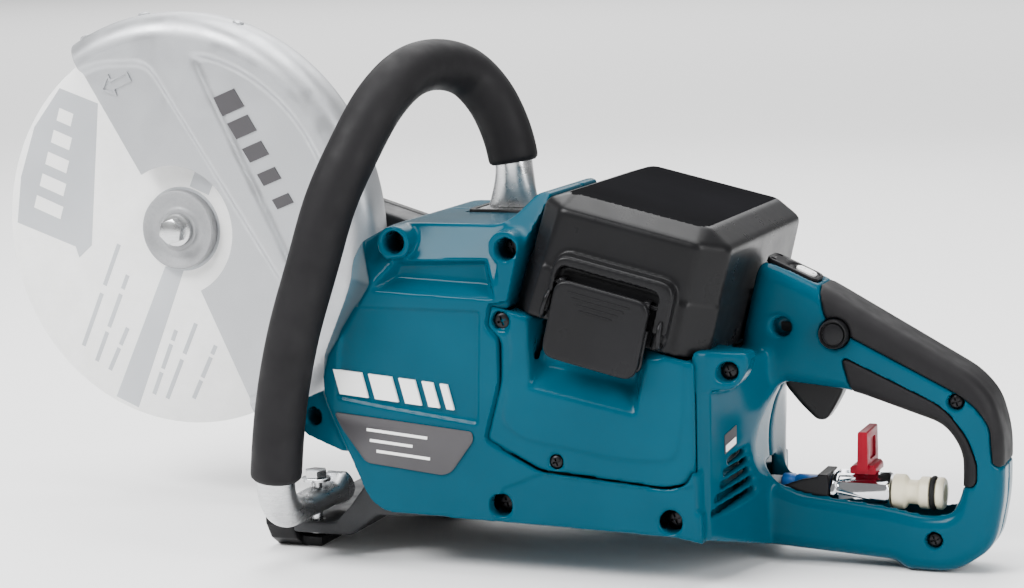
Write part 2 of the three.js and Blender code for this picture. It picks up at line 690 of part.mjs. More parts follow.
add('inner_flange', 'flange', turned(WHEEL_X, WHEEL_Z, [
  [SPINDLE_RADIUS + GAP, WHEEL_FACE + 0.2], [BORE_RADIUS - GAP, WHEEL_FACE + 0.2],
  [BORE_RADIUS - GAP, WHEEL_BACK + GAP],
  [FLANGE_RADIUS, WHEEL_BACK + GAP], [FLANGE_RADIUS, 49.8], [SPINDLE_RADIUS + GAP, 49.8],
  [SPINDLE_RADIUS + GAP, WHEEL_FACE + 0.2],
]))
add('cutting_wheel', 'abrasive', ring(WHEEL_X, WHEEL_Z, BORE_RADIUS, WHEEL_RADIUS, WHEEL_FACE, WHEEL_BACK, 64))
add('outer_flange', 'flange', turned(WHEEL_X, WHEEL_Z, [
  [4.6, 34.3], [11, 34.3], [16, 37], [20, 34.3], [FLANGE_RADIUS, 35.5],
  [FLANGE_RADIUS, WHEEL_FACE - GAP],
  [4.6, WHEEL_FACE - GAP], [4.6, 34.3],
]))

function wheelBolt() {
  const head = cross(WHEEL_X, WHEEL_Z, 7.5, 25.3, 33, 6)
  const collar = cross(WHEEL_X, WHEEL_Z, 9.6, 32, 34)
  return join(head, collar, cross(WHEEL_X, WHEEL_Z, 4, 33, 60, 16))
}

add('wheel_bolt', 'steel', wheelBolt())

// ---------------------------------------------------------------- wheel guard

const GUARD_FROM = THREE.MathUtils.degToRad(-65)
const GUARD_TO = THREE.MathUtils.degToRad(121)
const GUARD_NEAR = 27
const GUARD_FAR = 52
const GUARD_STEEL = 1.8
const GUARD_HUB = 38
const CLAMP_RADIUS = 31

function guardWedge() {
  const shape = new THREE.Shape()
  shape.moveTo(WHEEL_X, WHEEL_Z)
  shape.absarc(WHEEL_X, WHEEL_Z, GUARD_RADIUS + 20, GUARD_FROM, GUARD_TO, false)
  shape.closePath()
  return sideways(shape, GUARD_NEAR - 5, GUARD_FAR + 5, 8)
}

function wheelGuard() {
  const skin = turned(WHEEL_X, WHEEL_Z, [
    [GUARD_HUB, GUARD_NEAR], [116, GUARD_NEAR], [GUARD_RADIUS - 2, 33], [GUARD_RADIUS, 38],
    [GUARD_RADIUS, GUARD_FAR],
    [CLAMP_RADIUS, GUARD_FAR], [CLAMP_RADIUS, GUARD_FAR - GUARD_STEEL],
    [GUARD_RADIUS - GUARD_STEEL, GUARD_FAR - GUARD_STEEL], [GUARD_RADIUS - GUARD_STEEL, 38.4],
    [GUARD_RADIUS - GUARD_STEEL - 2, 34], [115.2, GUARD_NEAR + GUARD_STEEL],
    [GUARD_HUB, GUARD_NEAR + GUARD_STEEL], [GUARD_HUB, GUARD_NEAR],
  ], 56)
  return skin.intersect(guardWedge())
}

add('wheel_guard', 'silver', wheelGuard())
add('guard_clamp', 'casting', turned(WHEEL_X, WHEEL_Z, [
  [SPINDLE_TUBE + 0.4, GUARD_FAR - GUARD_STEEL], [CLAMP_RADIUS - 0.4, GUARD_FAR - GUARD_STEEL],
  [CLAMP_RADIUS - 0.4, GUARD_FAR + GAP], [36, GUARD_FAR + GAP], [36, 57], [SPINDLE_TUBE + 0.4, 57],
  [SPINDLE_TUBE + 0.4, GUARD_FAR - GUARD_STEEL],
]))

// ---------------------------------------------------------------- front handle, base and skid

const TUBE_PATH = [
  [-62, -24, 29], [-63, -50, 27.5], [-64, -74, 27.5], [-64, -90, 32], [-63, -98, 42],
  [-61, -100, 60], [-57, -100, 90],
  [-49, -100, 125], [-37, -99, 162], [-27, -96, 194], [-18, -88, 218], [-8, -72, 244], [-1, -50, 257.5],
  [6, -24, 260], [14, -5, 254], [23, 3, 241], [31, 6, 222], [35, 6.5, 203], [36, 6.5, 182],
]
const TUBE_STEPS = 32
const TUBE_SIDES = 6
const SLEEVE_FROM = 5
const SLEEVE_TO = 17

function frontTube() {
  const whole = bar(TUBE_PATH, TUBE_RADIUS, TUBE_STEPS, TUBE_SIDES)
  return cut(
    whole,
    block(-80, -40, -66, -10, 37.4, 60),
    upright(-63, -50, 3.5, 0, 60, 12),
    block(0, 80, -30, 50, 170, 182.2),
  )
}

function gripSleeve() {
  const ends = TUBE_PATH.slice(SLEEVE_FROM - 1, SLEEVE_TO + 1)
  const outer = bar(TUBE_PATH, SLEEVE_RADIUS, TUBE_STEPS, TUBE_SIDES)
  const bore = bar(TUBE_PATH, TUBE_RADIUS + GAP, TUBE_STEPS, TUBE_SIDES)
  const lowEnd = block(-130, 20, -130, 30, -10, ends[0][2] + 6)
  const topEnd = block(10, 80, -40, 60, 170, 205)
  return cut(outer, bore, lowEnd, topEnd)
}

add('front_handle_tube', 'steel', frontTube())
add('front_handle_sleeve', 'rubber', gripSleeve())
add('handle_top_plate', 'steel', block(16, 58, -14, 24, 179.3, 181.7))
add('handle_washer', 'steel', ringUpright(-63, -50, 3.6, 8, 37.7, 39.4))
add('handle_screw', 'steel', upright(-63, -50, 6, 39.7, 43.5, 6).add(upright(-63, -50, 3.1, 9, 40, 12)))

const BRACKET_PROFILE = [
  [-84, 16], [-84, 10], [-40, 10], [-24, 22], [44, 25], [44, 28.8], [-9, 30.4], [-19, 37.2],
  [-27, 55], [-31, 55], [-31, 38],
  [-40, 26], [-49, 16.6],
]

function baseBracket() {
  const casting = sidePlate(BRACKET_PROFILE, -58, 56)
  const leftLeg = block(-84, -64, -42, -20, 5.3, 12)
  const rightFoot = sidePlate([[-44, 0], [-16, 0], [-6, 24], [-40, 24]], 34, 56)
  return cut(
    join(casting, leftLeg, rightFoot),
    upright(-63, -50, 3.5, 0, 60, 12),
    block(-92, -73.8, -60, -48.8, 5.2, 20),
  )
}

add('base_bracket', 'casting', baseBracket())

// The skid turns up at its outer end, ahead of the tube.
function skidPlate() {
  const curve = [
    [-45, 0], [-53, 5], [-59, 14], [-61, 36], [-57.5, 36], [-55.5, 15], [-50, 7.5], [-45, 5],
  ]
  const lip = acrossX(curve, -90, -74.2)
  const foot = block(-90, -63, -45.5, -18, 0, 5)
  return foot.add(lip)
}

add('skid_plate', 'black', skidPlate())

// ---------------------------------------------------------------- trigger, lock-off and display panel

const TRIGGER_PROFILE = [
  [186.5, 92.5], [203.5, 74.5], [208.5, 74.5], [217, 89], [219.5, 98], [213, 106.5], [190, 107],
  [187.5, 100],
]

function trigger() {
  const blade = sidePlate(TRIGGER_PROFILE, -6.8, 6.8, 2)
  return blade.subtract(cross(TRIGGER_PIN_X, TRIGGER_PIN_Z, 2.1, -10, 10, 12))
}

add('trigger', 'black', trigger())
add('trigger_pin', 'steel', cross(TRIGGER_PIN_X, TRIGGER_PIN_Z, 1.8, -9.8, 9.8, 12))
add('trigger_switch', 'black', block(186, 205.5, -8.5, 8.5, 111.5, 126))

function lockOffButton() {
  const rod = cross(LOCK_OFF_X, LOCK_OFF_Z, LOCK_OFF_RADIUS, -21, 18)
  return rod.add(cross(LOCK_OFF_X, LOCK_OFF_Z, LOCK_OFF_RADIUS + 1.6, -9.5, -7))
}

add('lock_off_button', 'black', lockOffButton())

const BUTTON_U = [18, 29]
const BUTTON_HALF = 4

function powerPanel() {
  const plate = sidePlate(panelStrip(3, 32, -2.2, 0.8), -10, 10)
  const well = panelStrip(BUTTON_U[0] - 0.4, BUTTON_U[1] + 0.4, -1.3, 3)
  return plate.subtract(sidePlate(well, -BUTTON_HALF - 0.4, BUTTON_HALF + 0.4))
}

add('power_panel', 'panel', powerPanel())
add('power_button', 'white', sidePlate(panelStrip(...BUTTON_U, -0.2, 1.6), -BUTTON_HALF, BUTTON_HALF))

// ---------------------------------------------------------------- water supply

const VALVE_Z = 38
const VALVE_X = 229

add('valve_bracket', 'black', join(
  sidePlate([[181, 38], [197, 44], [210, 46.5], [210, 30], [190, 30], [181, 34.5]], -11, -8.8),
  block(205, 210.4, -11, 11, 28, 47).subtract(lengthways(0, VALVE_Z + 1, 5.8, 200, 215, 16)),
))

function hexBar(radius, x0, x1) {
  const geometry = new THREE.CylinderGeometry(radius, radius, x1 - x0, 6)
  geometry.rotateY(Math.PI / 6)
  geometry.rotateZ(Math.PI / 2)
  geometry.translate((x0 + x1) / 2, 0, VALVE_Z)
  return solid(geometry)
}

add('valve_body', 'chrome', hexBar(10.4, 211, 242).add(upright(VALVE_X, 0, 3, VALVE_Z, 50.5, 12)))
add('valve_lever', 'red', join(
  block(VALVE_X - 7, VALVE_X + 6, -9, 9, 47.9, 51.5),
  block(VALVE_X - 2.8, VALVE_X + 2.8, -12, 12, 50, 70.5),
).subtract(upright(VALVE_X, 0, 3.4, 40, 52, 12)))

function turnedLengthways(profile, segments) {
  const points = profile.map(([radius, x]) => new THREE.Vector2(radius, x))
  const geometry = new THREE.LatheGeometry(points, segments)
  geometry.rotateZ(-Math.PI / 2)
  geometry.translate(0, 0, VALVE_Z)
  return solid(geometry)
}

add('hose_plug', 'nylon', turnedLengthways([
  [4, 243], [9, 243], [9, 249], [6.3, 251], [6.3, 256], [8.3, 257], [8.3, 262], [6.9, 262], [6.9, 265.6],
  [8.3, 265.6], [8.3, 269.5], [4, 269.5], [4, 243],
], 20))
add('hose_plug_ring', 'belt', turnedLengthways([
  [7.2, 262.4], [8.9, 262.4], [8.9, 265.2], [7.2, 265.2], [7.2, 262.4],
], 20))
add('hose_coupling', 'blue', lengthways(0, VALVE_Z + 1, 5.4, 184, 210.6, 16))

const HOSE_PATH = [
  [183.6, 0, 39], [174, 0, 39], [164, 3, 39], [156, 12, 38.6], [146, 32, 38], [134, 52, 38],
  [118, 66, 38.5], [90, 70, 39.5],
  [54, 70, 40], [40, 70, 42], [20, 70, 49], [-20, 70, 62], [-60, 70, 74], [-100, 70, 86],
  [-124, 68, 92], [-146, 64, 96], [-156, 63, 97], [-164.2, 63, 97],
]
add('water_hose', 'hose', bar(HOSE_PATH, HOSE_RADIUS, 32, 4))
const NOZZLE_X = -173
add('water_nozzle', 'black', join(
  block(NOZZLE_X - 8, NOZZLE_X + 8, 56, 70, 90, 104),
  block(NOZZLE_X - 5, NOZZLE_X + 5, 66, ARM_FACE - GAP, 90, 134),
  cross(NOZZLE_X, 97, 3, 53, 58, 12),
))

export default group
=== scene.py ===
"""Rescue saw: the looks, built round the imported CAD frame. Lengths are in millimetres and every
mesh is scaled to metres as it is made; only camera, lights and floor are given in metres."""

import json
import math

import bpy
import bmesh
from mathutils import Matrix, Vector


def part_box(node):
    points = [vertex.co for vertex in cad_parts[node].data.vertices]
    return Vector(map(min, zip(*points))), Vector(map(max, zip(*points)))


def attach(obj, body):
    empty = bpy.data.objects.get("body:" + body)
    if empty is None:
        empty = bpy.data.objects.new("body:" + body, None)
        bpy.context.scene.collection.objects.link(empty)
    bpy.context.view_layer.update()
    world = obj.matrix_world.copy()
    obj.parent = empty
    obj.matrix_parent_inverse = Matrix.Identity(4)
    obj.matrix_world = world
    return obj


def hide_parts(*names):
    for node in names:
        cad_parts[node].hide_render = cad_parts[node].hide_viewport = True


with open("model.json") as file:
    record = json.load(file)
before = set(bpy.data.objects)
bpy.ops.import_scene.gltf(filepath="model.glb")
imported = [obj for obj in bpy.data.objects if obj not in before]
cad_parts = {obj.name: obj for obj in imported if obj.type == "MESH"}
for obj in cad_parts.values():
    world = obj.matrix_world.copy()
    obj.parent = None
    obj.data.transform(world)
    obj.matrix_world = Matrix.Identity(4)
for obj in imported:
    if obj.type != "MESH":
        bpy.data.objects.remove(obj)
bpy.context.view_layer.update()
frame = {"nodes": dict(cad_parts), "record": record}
MM = 0.001
ORIGIN = (0, 0, 0)

# ---------- camera, floor and light


def axes_at(place, x_axis, y_axis, z_axis):
    """A frame with its origin at a place and the given axes."""
    return Matrix.Translation(place) @ Matrix((x_axis, y_axis, z_axis)).transposed().to_4x4()


def make_camera():
    """Looks from the operator's left, a little above, from the photograph's side."""
    azimuth, elevation, roll = math.radians(21.24), math.radians(8.33), math.radians(-1.5)
    forward = Vector((
        -math.sin(azimuth) * math.cos(elevation),
        math.cos(azimuth) * math.cos(elevation),
        -math.sin(elevation),
    ))
    right = Vector((math.cos(azimuth), math.sin(azimuth), 0))
    up = right.cross(forward)
    across = right * math.cos(roll) + up * math.sin(roll)
    upwards = -right * math.sin(roll) + up * math.cos(roll)
    data = bpy.data.cameras.new("camera")
    data.sensor_width = 36
    data.lens = 91.41
    data.clip_start = 0.05
    camera = bpy.data.objects.new("camera", data)
    camera.matrix_world = axes_at((0.537, -1.2942, 0.3381), across, upwards, -forward)
    bpy.context.scene.collection.objects.link(camera)
    bpy.context.scene.camera = camera


def area_light(name, place, target, size, power):
    data = bpy.data.lights.new(name, "AREA")
    data.shape = "RECTANGLE"
    data.size, data.size_y = size
    data.energy = power
    light = bpy.data.objects.new(name, data)
    light.location = place
    aim = Vector(target) - Vector(place)
    light.rotation_euler = aim.to_track_quat("-Z", "Y").to_euler()
    bpy.context.scene.collection.objects.link(light)


def make_studio():
    world = bpy.data.worlds.new("studio")
    bpy.context.scene.world = world
    world.use_nodes = True
    back = world.node_tree.nodes["Background"]
    back.inputs["Color"].default_value = (1, 1, 1, 1)
    back.inputs["Strength"].default_value = 0.36
    area_light("key", (-1.2, -1.6, 2.0), (0, 0, 0.1), (1.6, 1.0), 128)
    area_light("top", (0.1, 0.1, 2.2), (0, 0, 0), (1.8, 1.2), 62)
    area_light("side", (2.0, -0.9, 0.9), (0.1, 0, 0.12), (0.5, 1.6), 40)
    area_light("back", (-0.4, 1.9, 1.2), (0, 0, 0.15), (1.6, 0.8), 9)
    area_light("far", (-2.2, 6.0, 5.0), (-2.2, 6.1, 0), (8, 8), 700)


def make_floor():
    mesh = bpy.data.meshes.new("floor")
    builder = bmesh.new()
    bmesh.ops.create_circle(builder, cap_ends=True, segments=96, radius=16)
    builder.to_mesh(mesh)
    builder.free()
    floor = bpy.data.objects.new("floor", mesh)
    floor.location.z = -0.0004
    bpy.context.scene.collection.objects.link(floor)
    surface = bpy.data.materials.new("studio_floor")
    surface.use_nodes = True
    shader = surface.node_tree.nodes["Principled BSDF"]
    shader.inputs["Base Color"].default_value = (0.9, 0.9, 0.9, 1)
    shader.inputs["Roughness"].default_value = 0.9
    shader.inputs["Specular IOR Level"].default_value = 0.1
    mesh.materials.append(surface)


make_camera()
make_studio()
make_floor()

# ---------- materials


def linear(colour):
    """An sRGB colour as hex, turned into Blender's linear numbers."""
    channels = [int(colour[i:i + 2], 16) / 255 for i in (0, 2, 4)]
    return [c / 12.92 if c <= 0.04045 else ((c + 0.055) / 1.055) ** 2.4 for c in channels] + [1]


class Looks:
    """Builds one procedural material: colour drift, varied gloss and fine bump."""

    def __init__(self, name):
        self.material = bpy.data.materials.new(name)
        self.material.use_nodes = True
        self.tree = self.material.node_tree
        self.shader = self.tree.nodes["Principled BSDF"]
        self.coords = self.tree.nodes.new("ShaderNodeTexCoord").outputs["Object"]

    def node(self, kind, **values):
        made = self.tree.nodes.new(kind)
        for key, value in values.items():
            setattr(made, key, value)
        return made

    def link(self, output, target):
        self.tree.links.new(output, target)

    def noise(self, scale, detail=3, rough=0.5, stretch=None):
        made = self.node("ShaderNodeTexNoise")
        made.inputs["Scale"].default_value = scale
        made.inputs["Detail"].default_value = detail
        made.inputs["Roughness"].default_value = rough
        source = self.coords
        if stretch:
            mapping = self.node("ShaderNodeMapping")
            mapping.inputs["Scale"].default_value = stretch
            self.link(source, mapping.inputs["Vector"])
            source = mapping.outputs["Vector"]
        self.link(source, made.inputs["Vector"])
        return made.outputs["Fac"]

    def ramp(self, value, low, high, start=0.3, end=0.7):
        made = self.node("ShaderNodeMapRange")
        limits = {"From Min": start, "From Max": end, "To Min": low, "To Max": high}
        for key, number in limits.items():
            made.inputs[key].default_value = number
        self.link(value, made.inputs["Value"])
        return made.outputs["Result"]

    def bump(self, height, distance_mm, strength=1.0, onto=None):
        made = self.node("ShaderNodeBump")
        made.inputs["Strength"].default_value = strength
        made.inputs["Distance"].default_value = distance_mm * MM
        self.link(height, made.inputs["Height"])
        if onto is not None:
            self.link(onto, made.inputs["Normal"])
        return made.outputs["Normal"]

    def drifting(self, pattern, colour, darker):
        """The base colour wanders between two tones after a pattern."""
        mix = self.node("ShaderNodeMix", data_type="RGBA")
        factor, first, second = (mix.inputs[i] for i in (0, 6, 7))
        first.default_value = linear(colour)
        second.default_value = linear(darker)
        self.link(self.ramp(pattern, 0, 1), factor)
        self.link(mix.outputs[2], self.shader.inputs["Base Color"])

    def finish(self, roughness, normal, **numbers):
        self.link(roughness, self.shader.inputs["Roughness"])
        self.link(normal, self.shader.inputs["Normal"])
        for key, value in numbers.items():
            self.shader.inputs[key.replace("_", " ")].default_value = value
        return self.material


def plastic(name, colour, darker, gloss, grain_mm=0.02, grain_scale=2600, shine=0.5):
    """Moulded plastic: a slow colour drift, faint scuffs and a fine grain."""
    look = Looks(name)
    look.drifting(look.noise(14, 4), colour, darker)
    rough = look.ramp(look.noise(45, 5, 0.6), gloss * 0.82, gloss * 1.22)
    scuffs = look.noise(260, 2, 0.7, (1, 1, 6))
    fine = look.bump(look.noise(grain_scale, 2, 0.6), grain_mm, 0.35)
    normal = look.bump(scuffs, 0.012, 0.25, fine)
    return look.finish(rough, normal, Specular_IOR_Level=shine)


def metal(name, colour, darker, gloss, stretch=(1, 1, 1), scale=180, grain=0.015, metallic=1.0):
    """Metal whose grain shows in its colour and bump; stretch draws it out into brushing."""
    look = Looks(name)
    brushed = look.noise(scale, 6, 0.7, stretch)
    look.drifting(brushed, colour, darker)
    rough = look.ramp(look.noise(60, 4, 0.6), gloss * 0.75, gloss * 1.3)
    normal = look.bump(brushed, grain, 0.4)
    return look.finish(rough, normal, Metallic=metallic)


def rubber(name, colour, darker, gloss=0.62):
    """A dull, soft surface with fine pores."""
    look = Looks(name)
    look.drifting(look.noise(30, 5, 0.65), colour, darker)
    rough = look.ramp(look.noise(90, 4), gloss * 0.85, gloss * 1.15)
    pores = look.node("ShaderNodeTexVoronoi", feature="F1")
    pores.inputs["Scale"].default_value = 1500
    look.link(look.coords, pores.inputs["Vector"])
    normal = look.bump(pores.outputs["Distance"], 0.05, 0.3)
    return look.finish(rough, normal, Specular_IOR_Level=0.2)


def wheel_face():
    """Off-white grit with a woven mesh under it."""
    look = Looks("abrasive")
    weave = look.node("ShaderNodeTexBrick", offset=0.5)
    weave.inputs["Scale"].default_value = 900
    weave.inputs["Mortar Size"].default_value = 0.06
    turn = look.node("ShaderNodeMapping")
    turn.inputs["Rotation"].default_value = (math.radians(90), 0, 0)
    look.link(look.coords, turn.inputs["Vector"])
    look.link(turn.outputs["Vector"], weave.inputs["Vector"])
    grit = look.noise(900, 4, 0.8)
    look.drifting(look.noise(60, 5, 0.7), "fafaf9", "f0f0ee")
    normal = look.bump(weave.outputs["Fac"], 0.12, 0.35, look.bump(grit, 0.1, 0.4))
    rough = look.ramp(grit, 0.6, 0.9)
    return look.finish(rough, normal)


MATERIALS = {
    "teal": plastic("teal", "004355", "003c4d", 0.2, 0.006, 1800, 0.09),
    "black": plastic("black", "141415", "18181a", 0.3, 0.008, shine=0.12),
    # painted shade: the black plastic with its reflection taken away, put on the battery cover's flat top
    # so that the top stays dark
    "painted_shade_top": plastic("painted_shade_top", "141415", "18181a", 0.5, 0.008, shine=0.0),
    "rubber": rubber("rubber", "141315", "0f0e10"),
    "steel": metal("steel", "d2d3d4", "b4b5b6", 0.27, (1, 1, 14)),
    "silver": metal("silver", "b4b6b9", "acaeb1", 0.4, scale=1400, metallic=0.7),
    "casting": metal("casting", "242528", "1c1d1f", 0.5, scale=900, grain=0.04, metallic=0.3),
    "abrasive": wheel_face(),
    "flange": metal("flange", "98999b", "8d8e90", 0.48, scale=500, metallic=0.3),
    "fastener": metal("fastener", "262628", "161617", 0.36, metallic=0.85),
    "chrome": metal("chrome", "d5d7da", "c9cbce", 0.09, scale=60, grain=0.004),
    "red": plastic("red", "8c0520", "7a041b", 0.36, shine=0.12),
    "nylon": plastic("nylon", "e9e2c8", "ded6b8", 0.42),
    "blue": plastic("blue", "1566b4", "10559b", 0.3),
    "hose": plastic("hose", "b7babe", "a4a7ab", 0.45),
    "belt": rubber("belt", "191919", "121212", 0.75),
    "winding": metal("winding", "b06b3f", "7d4527", 0.38, (1, 30, 1), 260, 0.08),
    "rotor": metal("rotor", "7b7d80", "56585a", 0.36, (1, 60, 1), 300, 0.05),
    "circuit": plastic("circuit", "2d3b33", "232f28", 0.5, 0.1, 700),
    "contact": metal("contact", "b9923f", "94722c", 0.32),
    "label": plastic("label", "3a383b", "343235", 0.42),
    "panel": plastic("panel", "131315", "1a1a1c", 0.3, shine=0.06),
    "white": plastic("white", "f6f6f5", "ededeb", 0.35),
}
SLOTS = {row["node"]: row["material_slot"] for row in frame["record"]["subparts"]}
BODIES = {
    node: body
    for body, nodes in frame["record"]["behaviour"]["bodies"].items()
    for node in nodes
}


def dress(obj, slot):
    """The object wears one material."""
    obj.data.materials.clear()
    obj.data.materials.append(MATERIALS[slot])


# ---------- making and carving solids

TILT = math.radians(13.6)
BAY = Matrix.Translation((80, 0, 135.5)) @ Matrix.Rotation(TILT, 4, "Y")
PLANES = {
    "XZ": lambda u, v, w: (u, w, v),
    "XY": lambda u, v, w: (u, v, w),
    "YZ": lambda u, v, w: (w, u, v),
}


def placed(mesh):
    """An object for a mesh whose doubled points are merged and whose faces look outwards."""
    builder = bmesh.new()
    builder.from_mesh(mesh)
    bmesh.ops.remove_doubles(builder, verts=builder.verts, dist=1e-6)
    bmesh.ops.recalc_face_normals(builder, faces=builder.faces)
    builder.to_mesh(mesh)
    builder.free()
    made = bpy.data.objects.new("solid", mesh)
    bpy.context.scene.collection.objects.link(made)
    return made


def solid(points, faces, turn=None):
    """A closed mesh from points in millimetres."""
    mesh = bpy.data.meshes.new("solid")
    place = turn or Matrix.Identity(4)
    mesh.from_pydata([place @ Vector(p) * MM for p in points], [], faces)
    return placed(mesh)


def rounded(points, radius, steps=5):
    """The outline with each corner turned into a curve."""
    result = []
    for i, corner in enumerate(points):
        here = Vector(corner)
        before, after = Vector(points[i - 1]), Vector(points[(i + 1) % len(points)])
        reach = min(radius, (here - before).length * 0.45, (here - after).length * 0.45)
        start = here + (before - here).normalized() * reach
        end = here + (after - here).normalized() * reach
        for k in range(steps + 1):
            t = k / steps
            spot = start * (1 - t) ** 2 + here * 2 * t * (1 - t) + end * t * t
            result.append((spot.x, spot.y))
    return result


def prism(points, low, high, plane="XZ", radius=0, turn=None):
    """An outline run from low to high across its plane."""
    loop = rounded(points, radius) if radius else points
    put = PLANES[plane]
    count = len(loop)
    ends = [put(u, v, w) for w in (low, high) for u, v in loop]
    sides = [(i, (i + 1) % count, (i + 1) % count + count, i + count) for i in range(count)]
    return solid(ends, [tuple(range(count)), tuple(range(count, 2 * count)), *sides], turn)


def box(x0, x1, y0, y1, z0, z1, turn=None):
    return prism([(x0, y0), (x1, y0), (x1, y1), (x0, y1)], z0, z1, "XY", turn=turn)


def turned(profile, place, axis="Y", segments=72, turn=None):
    """A closed profile of (radius, distance along) turned round an axis through place."""
    spin = {
        "Y": lambda r, a, w: (r * math.cos(a), w, r * math.sin(a)),
        "X": lambda r, a, w: (w, r * math.cos(a), r * math.sin(a)),
        "Z": lambda r, a, w: (r * math.cos(a), r * math.sin(a), w),
    }[axis]
    count = len(profile)
    points = [
        Vector(spin(radius, math.tau * i / segments, along)) + Vector(place)
        for i in range(segments) for radius, along in profile
    ]
    faces = [
        (i * count + k, i * count + (k + 1) % count,
         (i + 1) % segments * count + (k + 1) % count, (i + 1) % segments * count + k)
        for i in range(segments) for k in range(count)
    ]
    return solid(points, faces, turn)


def rod(place, radius, low, high, axis="Y", segments=40, turn=None):
    return turned([(0, low), (radius, low), (radius, high), (0, high)], place, axis, segments, turn)


def along_curve(points, samples):
    """Evenly spread points on a smooth curve through the given ones."""
    spots = [Vector(p) for p in points]
    spots = [spots[0] * 2 - spots[1], *spots, spots[-1] * 2 - spots[-2]]
    fine = []
    for i in range(1, len(spots) - 2):
        a, b, c, d = spots[i - 1:i + 3]
        knots = [0.0]
        for first, second in ((a, b), (b, c), (c, d)):
            knots.append(knots[-1] + max((second - first).length, 1e-6) ** 0.5)
        for k in range(24):
            t = knots[1] + (knots[2] - knots[1]) * k / 24
            mixed = [
                first + (second - first) * ((t - knots[j]) / (knots[j + 1] - knots[j]))
                for j, (first, second) in enumerate(((a, b), (b, c), (c, d)))
            ]
            low = mixed[0] + (mixed[1] - mixed[0]) * ((t - knots[0]) / (knots[2] - knots[0]))
            high = mixed[1] + (mixed[2] - mixed[1]) * ((t - knots[1]) / (knots[3] - knots[1]))
            fine.append(low + (high - low) * ((t - knots[1]) / (knots[2] - knots[1])))
    fine.append(spots[-2])
    lengths = [0.0]
    for first, second in zip(fine, fine[1:]):
        lengths.append(lengths[-1] + (second - first).length)
    result, j = [], 0
    for i in range(samples):
        want = lengths[-1] * i / (samples - 1)
        while j < len(fine) - 2 and lengths[j + 1] < want:
            j += 1
        share = (want - lengths[j]) / max(lengths[j + 1] - lengths[j], 1e-9)
        result.append(fine[j].lerp(fine[j + 1], min(max(share, 0), 1)))
    return result


def swept(points, radius, samples, sides, inner=None):
    """A round bar along a curve, hollow where inner is given. radius(share) may vary."""
    spots = along_curve(points, samples)
    size = radius if callable(radius) else (lambda share: radius)
    aside = Vector((0, 0, 1))
    rings = []
    for i, spot in enumerate(spots):
        ahead = (spots[min(i + 1, samples - 1)] - spots[max(i - 1, 0)]).normalized()
        aside = (aside - ahead * aside.dot(ahead)).normalized()
        over = ahead.cross(aside)
        share = i / (samples - 1)
        rings.append((spot, aside.copy(), over, size(share)))
    if inner is not None:
        rings += [(spot, side, over, inner) for spot, side, over, _ in reversed(rings)]
    skin, faces = [], []
    for spot, side, over, reach in rings:
        for k in range(sides):
            turn = math.tau * k / sides
            skin.append(spot + (side * math.cos(turn) + over * math.sin(turn)) * reach)
    total = len(rings)
    for i in range(total if inner is not None else total - 1):
        j = (i + 1) % total
        for k in range(sides):
            n = (k + 1) % sides
            faces.append((i * sides + k, i * sides + n, j * sides + n, j * sides + k))
    if inner is None:
        faces.append(tuple(range(sides)))
        faces.append(tuple((total - 1) * sides + k for k in range(sides)))
    return solid(skin, faces)


def settle(obj):
    """Applies an object's modifiers to its mesh."""
    bpy.context.view_layer.update()
    graph = bpy.context.evaluated_depsgraph_get()
    mesh = bpy.data.meshes.new_from_object(obj.evaluated_get(graph))
    obj.modifiers.clear()
    obj.data = mesh
    return obj


def carve(base, tools, operation="DIFFERENCE"):
    """Takes the tools out of the base, or joins or intersects them, and removes them."""
    for tool in tools:
        step = base.modifiers.new("carve", "BOOLEAN")
        step.operation = operation
        step.solver = "MANIFOLD"
        step.object = tool
    settle(base)
    for tool in tools:
        bpy.data.objects.remove(tool, do_unlink=True)
    return base


def join(base, *tools):
    return carve(base, tools, "UNION")


def common(base, *tools):
    return carve(base, tools, "INTERSECT")


def bevel_edges(obj, width, segments, angle):
    """A bevel, width in millimetres, on the edges that are sharper than the angle in degrees."""
    bevel = obj.modifiers.new("edges", "BEVEL")
    bevel.width = width * MM
    bevel.segments = segments
    bevel.limit_method = "ANGLE"
    bevel.angle_limit = math.radians(angle)
    return bevel


def bevelled(obj, width, segments, angle):
    """Rounds the edges of a solid and keeps it closed."""
    bevel_edges(obj, width, segments, angle)
    return settle(obj)


def crisp(obj, width=0.4, segments=2):
    """A small rounded edge, with flat faces that stay flat, on a piece with few faces."""
    bevel_edges(obj, width, segments, 30).harden_normals = True
    return settle(obj)


def moulded(obj, voxel, rounds, extra=None, extra_rounds=0):
    """Turns a solid with hard edges into a moulded one with soft, even edges.
    extra(point in mm) says how much a point takes part in the extra rounds."""
    step = obj.modifiers.new("skin", "REMESH")
    step.mode = "VOXEL"
    step.voxel_size = voxel * MM
    settle(obj)
    if extra:
        group = obj.vertex_groups.new(name="softer")
        for vertex in obj.data.vertices:
            share = extra(vertex.co * 1000)
            if share > 0:
                group.add([vertex.index], min(share, 1), "REPLACE")
        wide = obj.modifiers.new("softer", "SMOOTH")
        wide.factor = 0.6
        wide.iterations = extra_rounds
        wide.vertex_group = "softer"
    fine = obj.modifiers.new("smooth", "SMOOTH")
    fine.factor = 0.5
    fine.iterations = rounds
    settle(obj)
    obj.vertex_groups.clear()


def show(obj, *nodes, slot=None, body=None, name=None):
    """The piece stands for those nodes, rides on their body and wears their finish.
    A piece that stands for no node is given its slot, body and name."""
    slot = slot or SLOTS[nodes[0]]
    obj.name = name or nodes[0] + "_look"
    dress(obj, slot)
    for polygon in obj.data.polygons:
        polygon.use_smooth = True
    obj.data.set_sharp_from_angle(angle=math.radians(42))
    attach(obj, body or BODIES[nodes[0]])
    if nodes:
        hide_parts(*nodes)


# ---------- the frame's sizes, in mm


def axis_of(node):
    """The middle of a node's box, brought to y = 0: a point on its axis."""
    low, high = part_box(node)
    middle = (low * 1000 + high * 1000) / 2
    return Vector((middle.x, 0, middle.z))


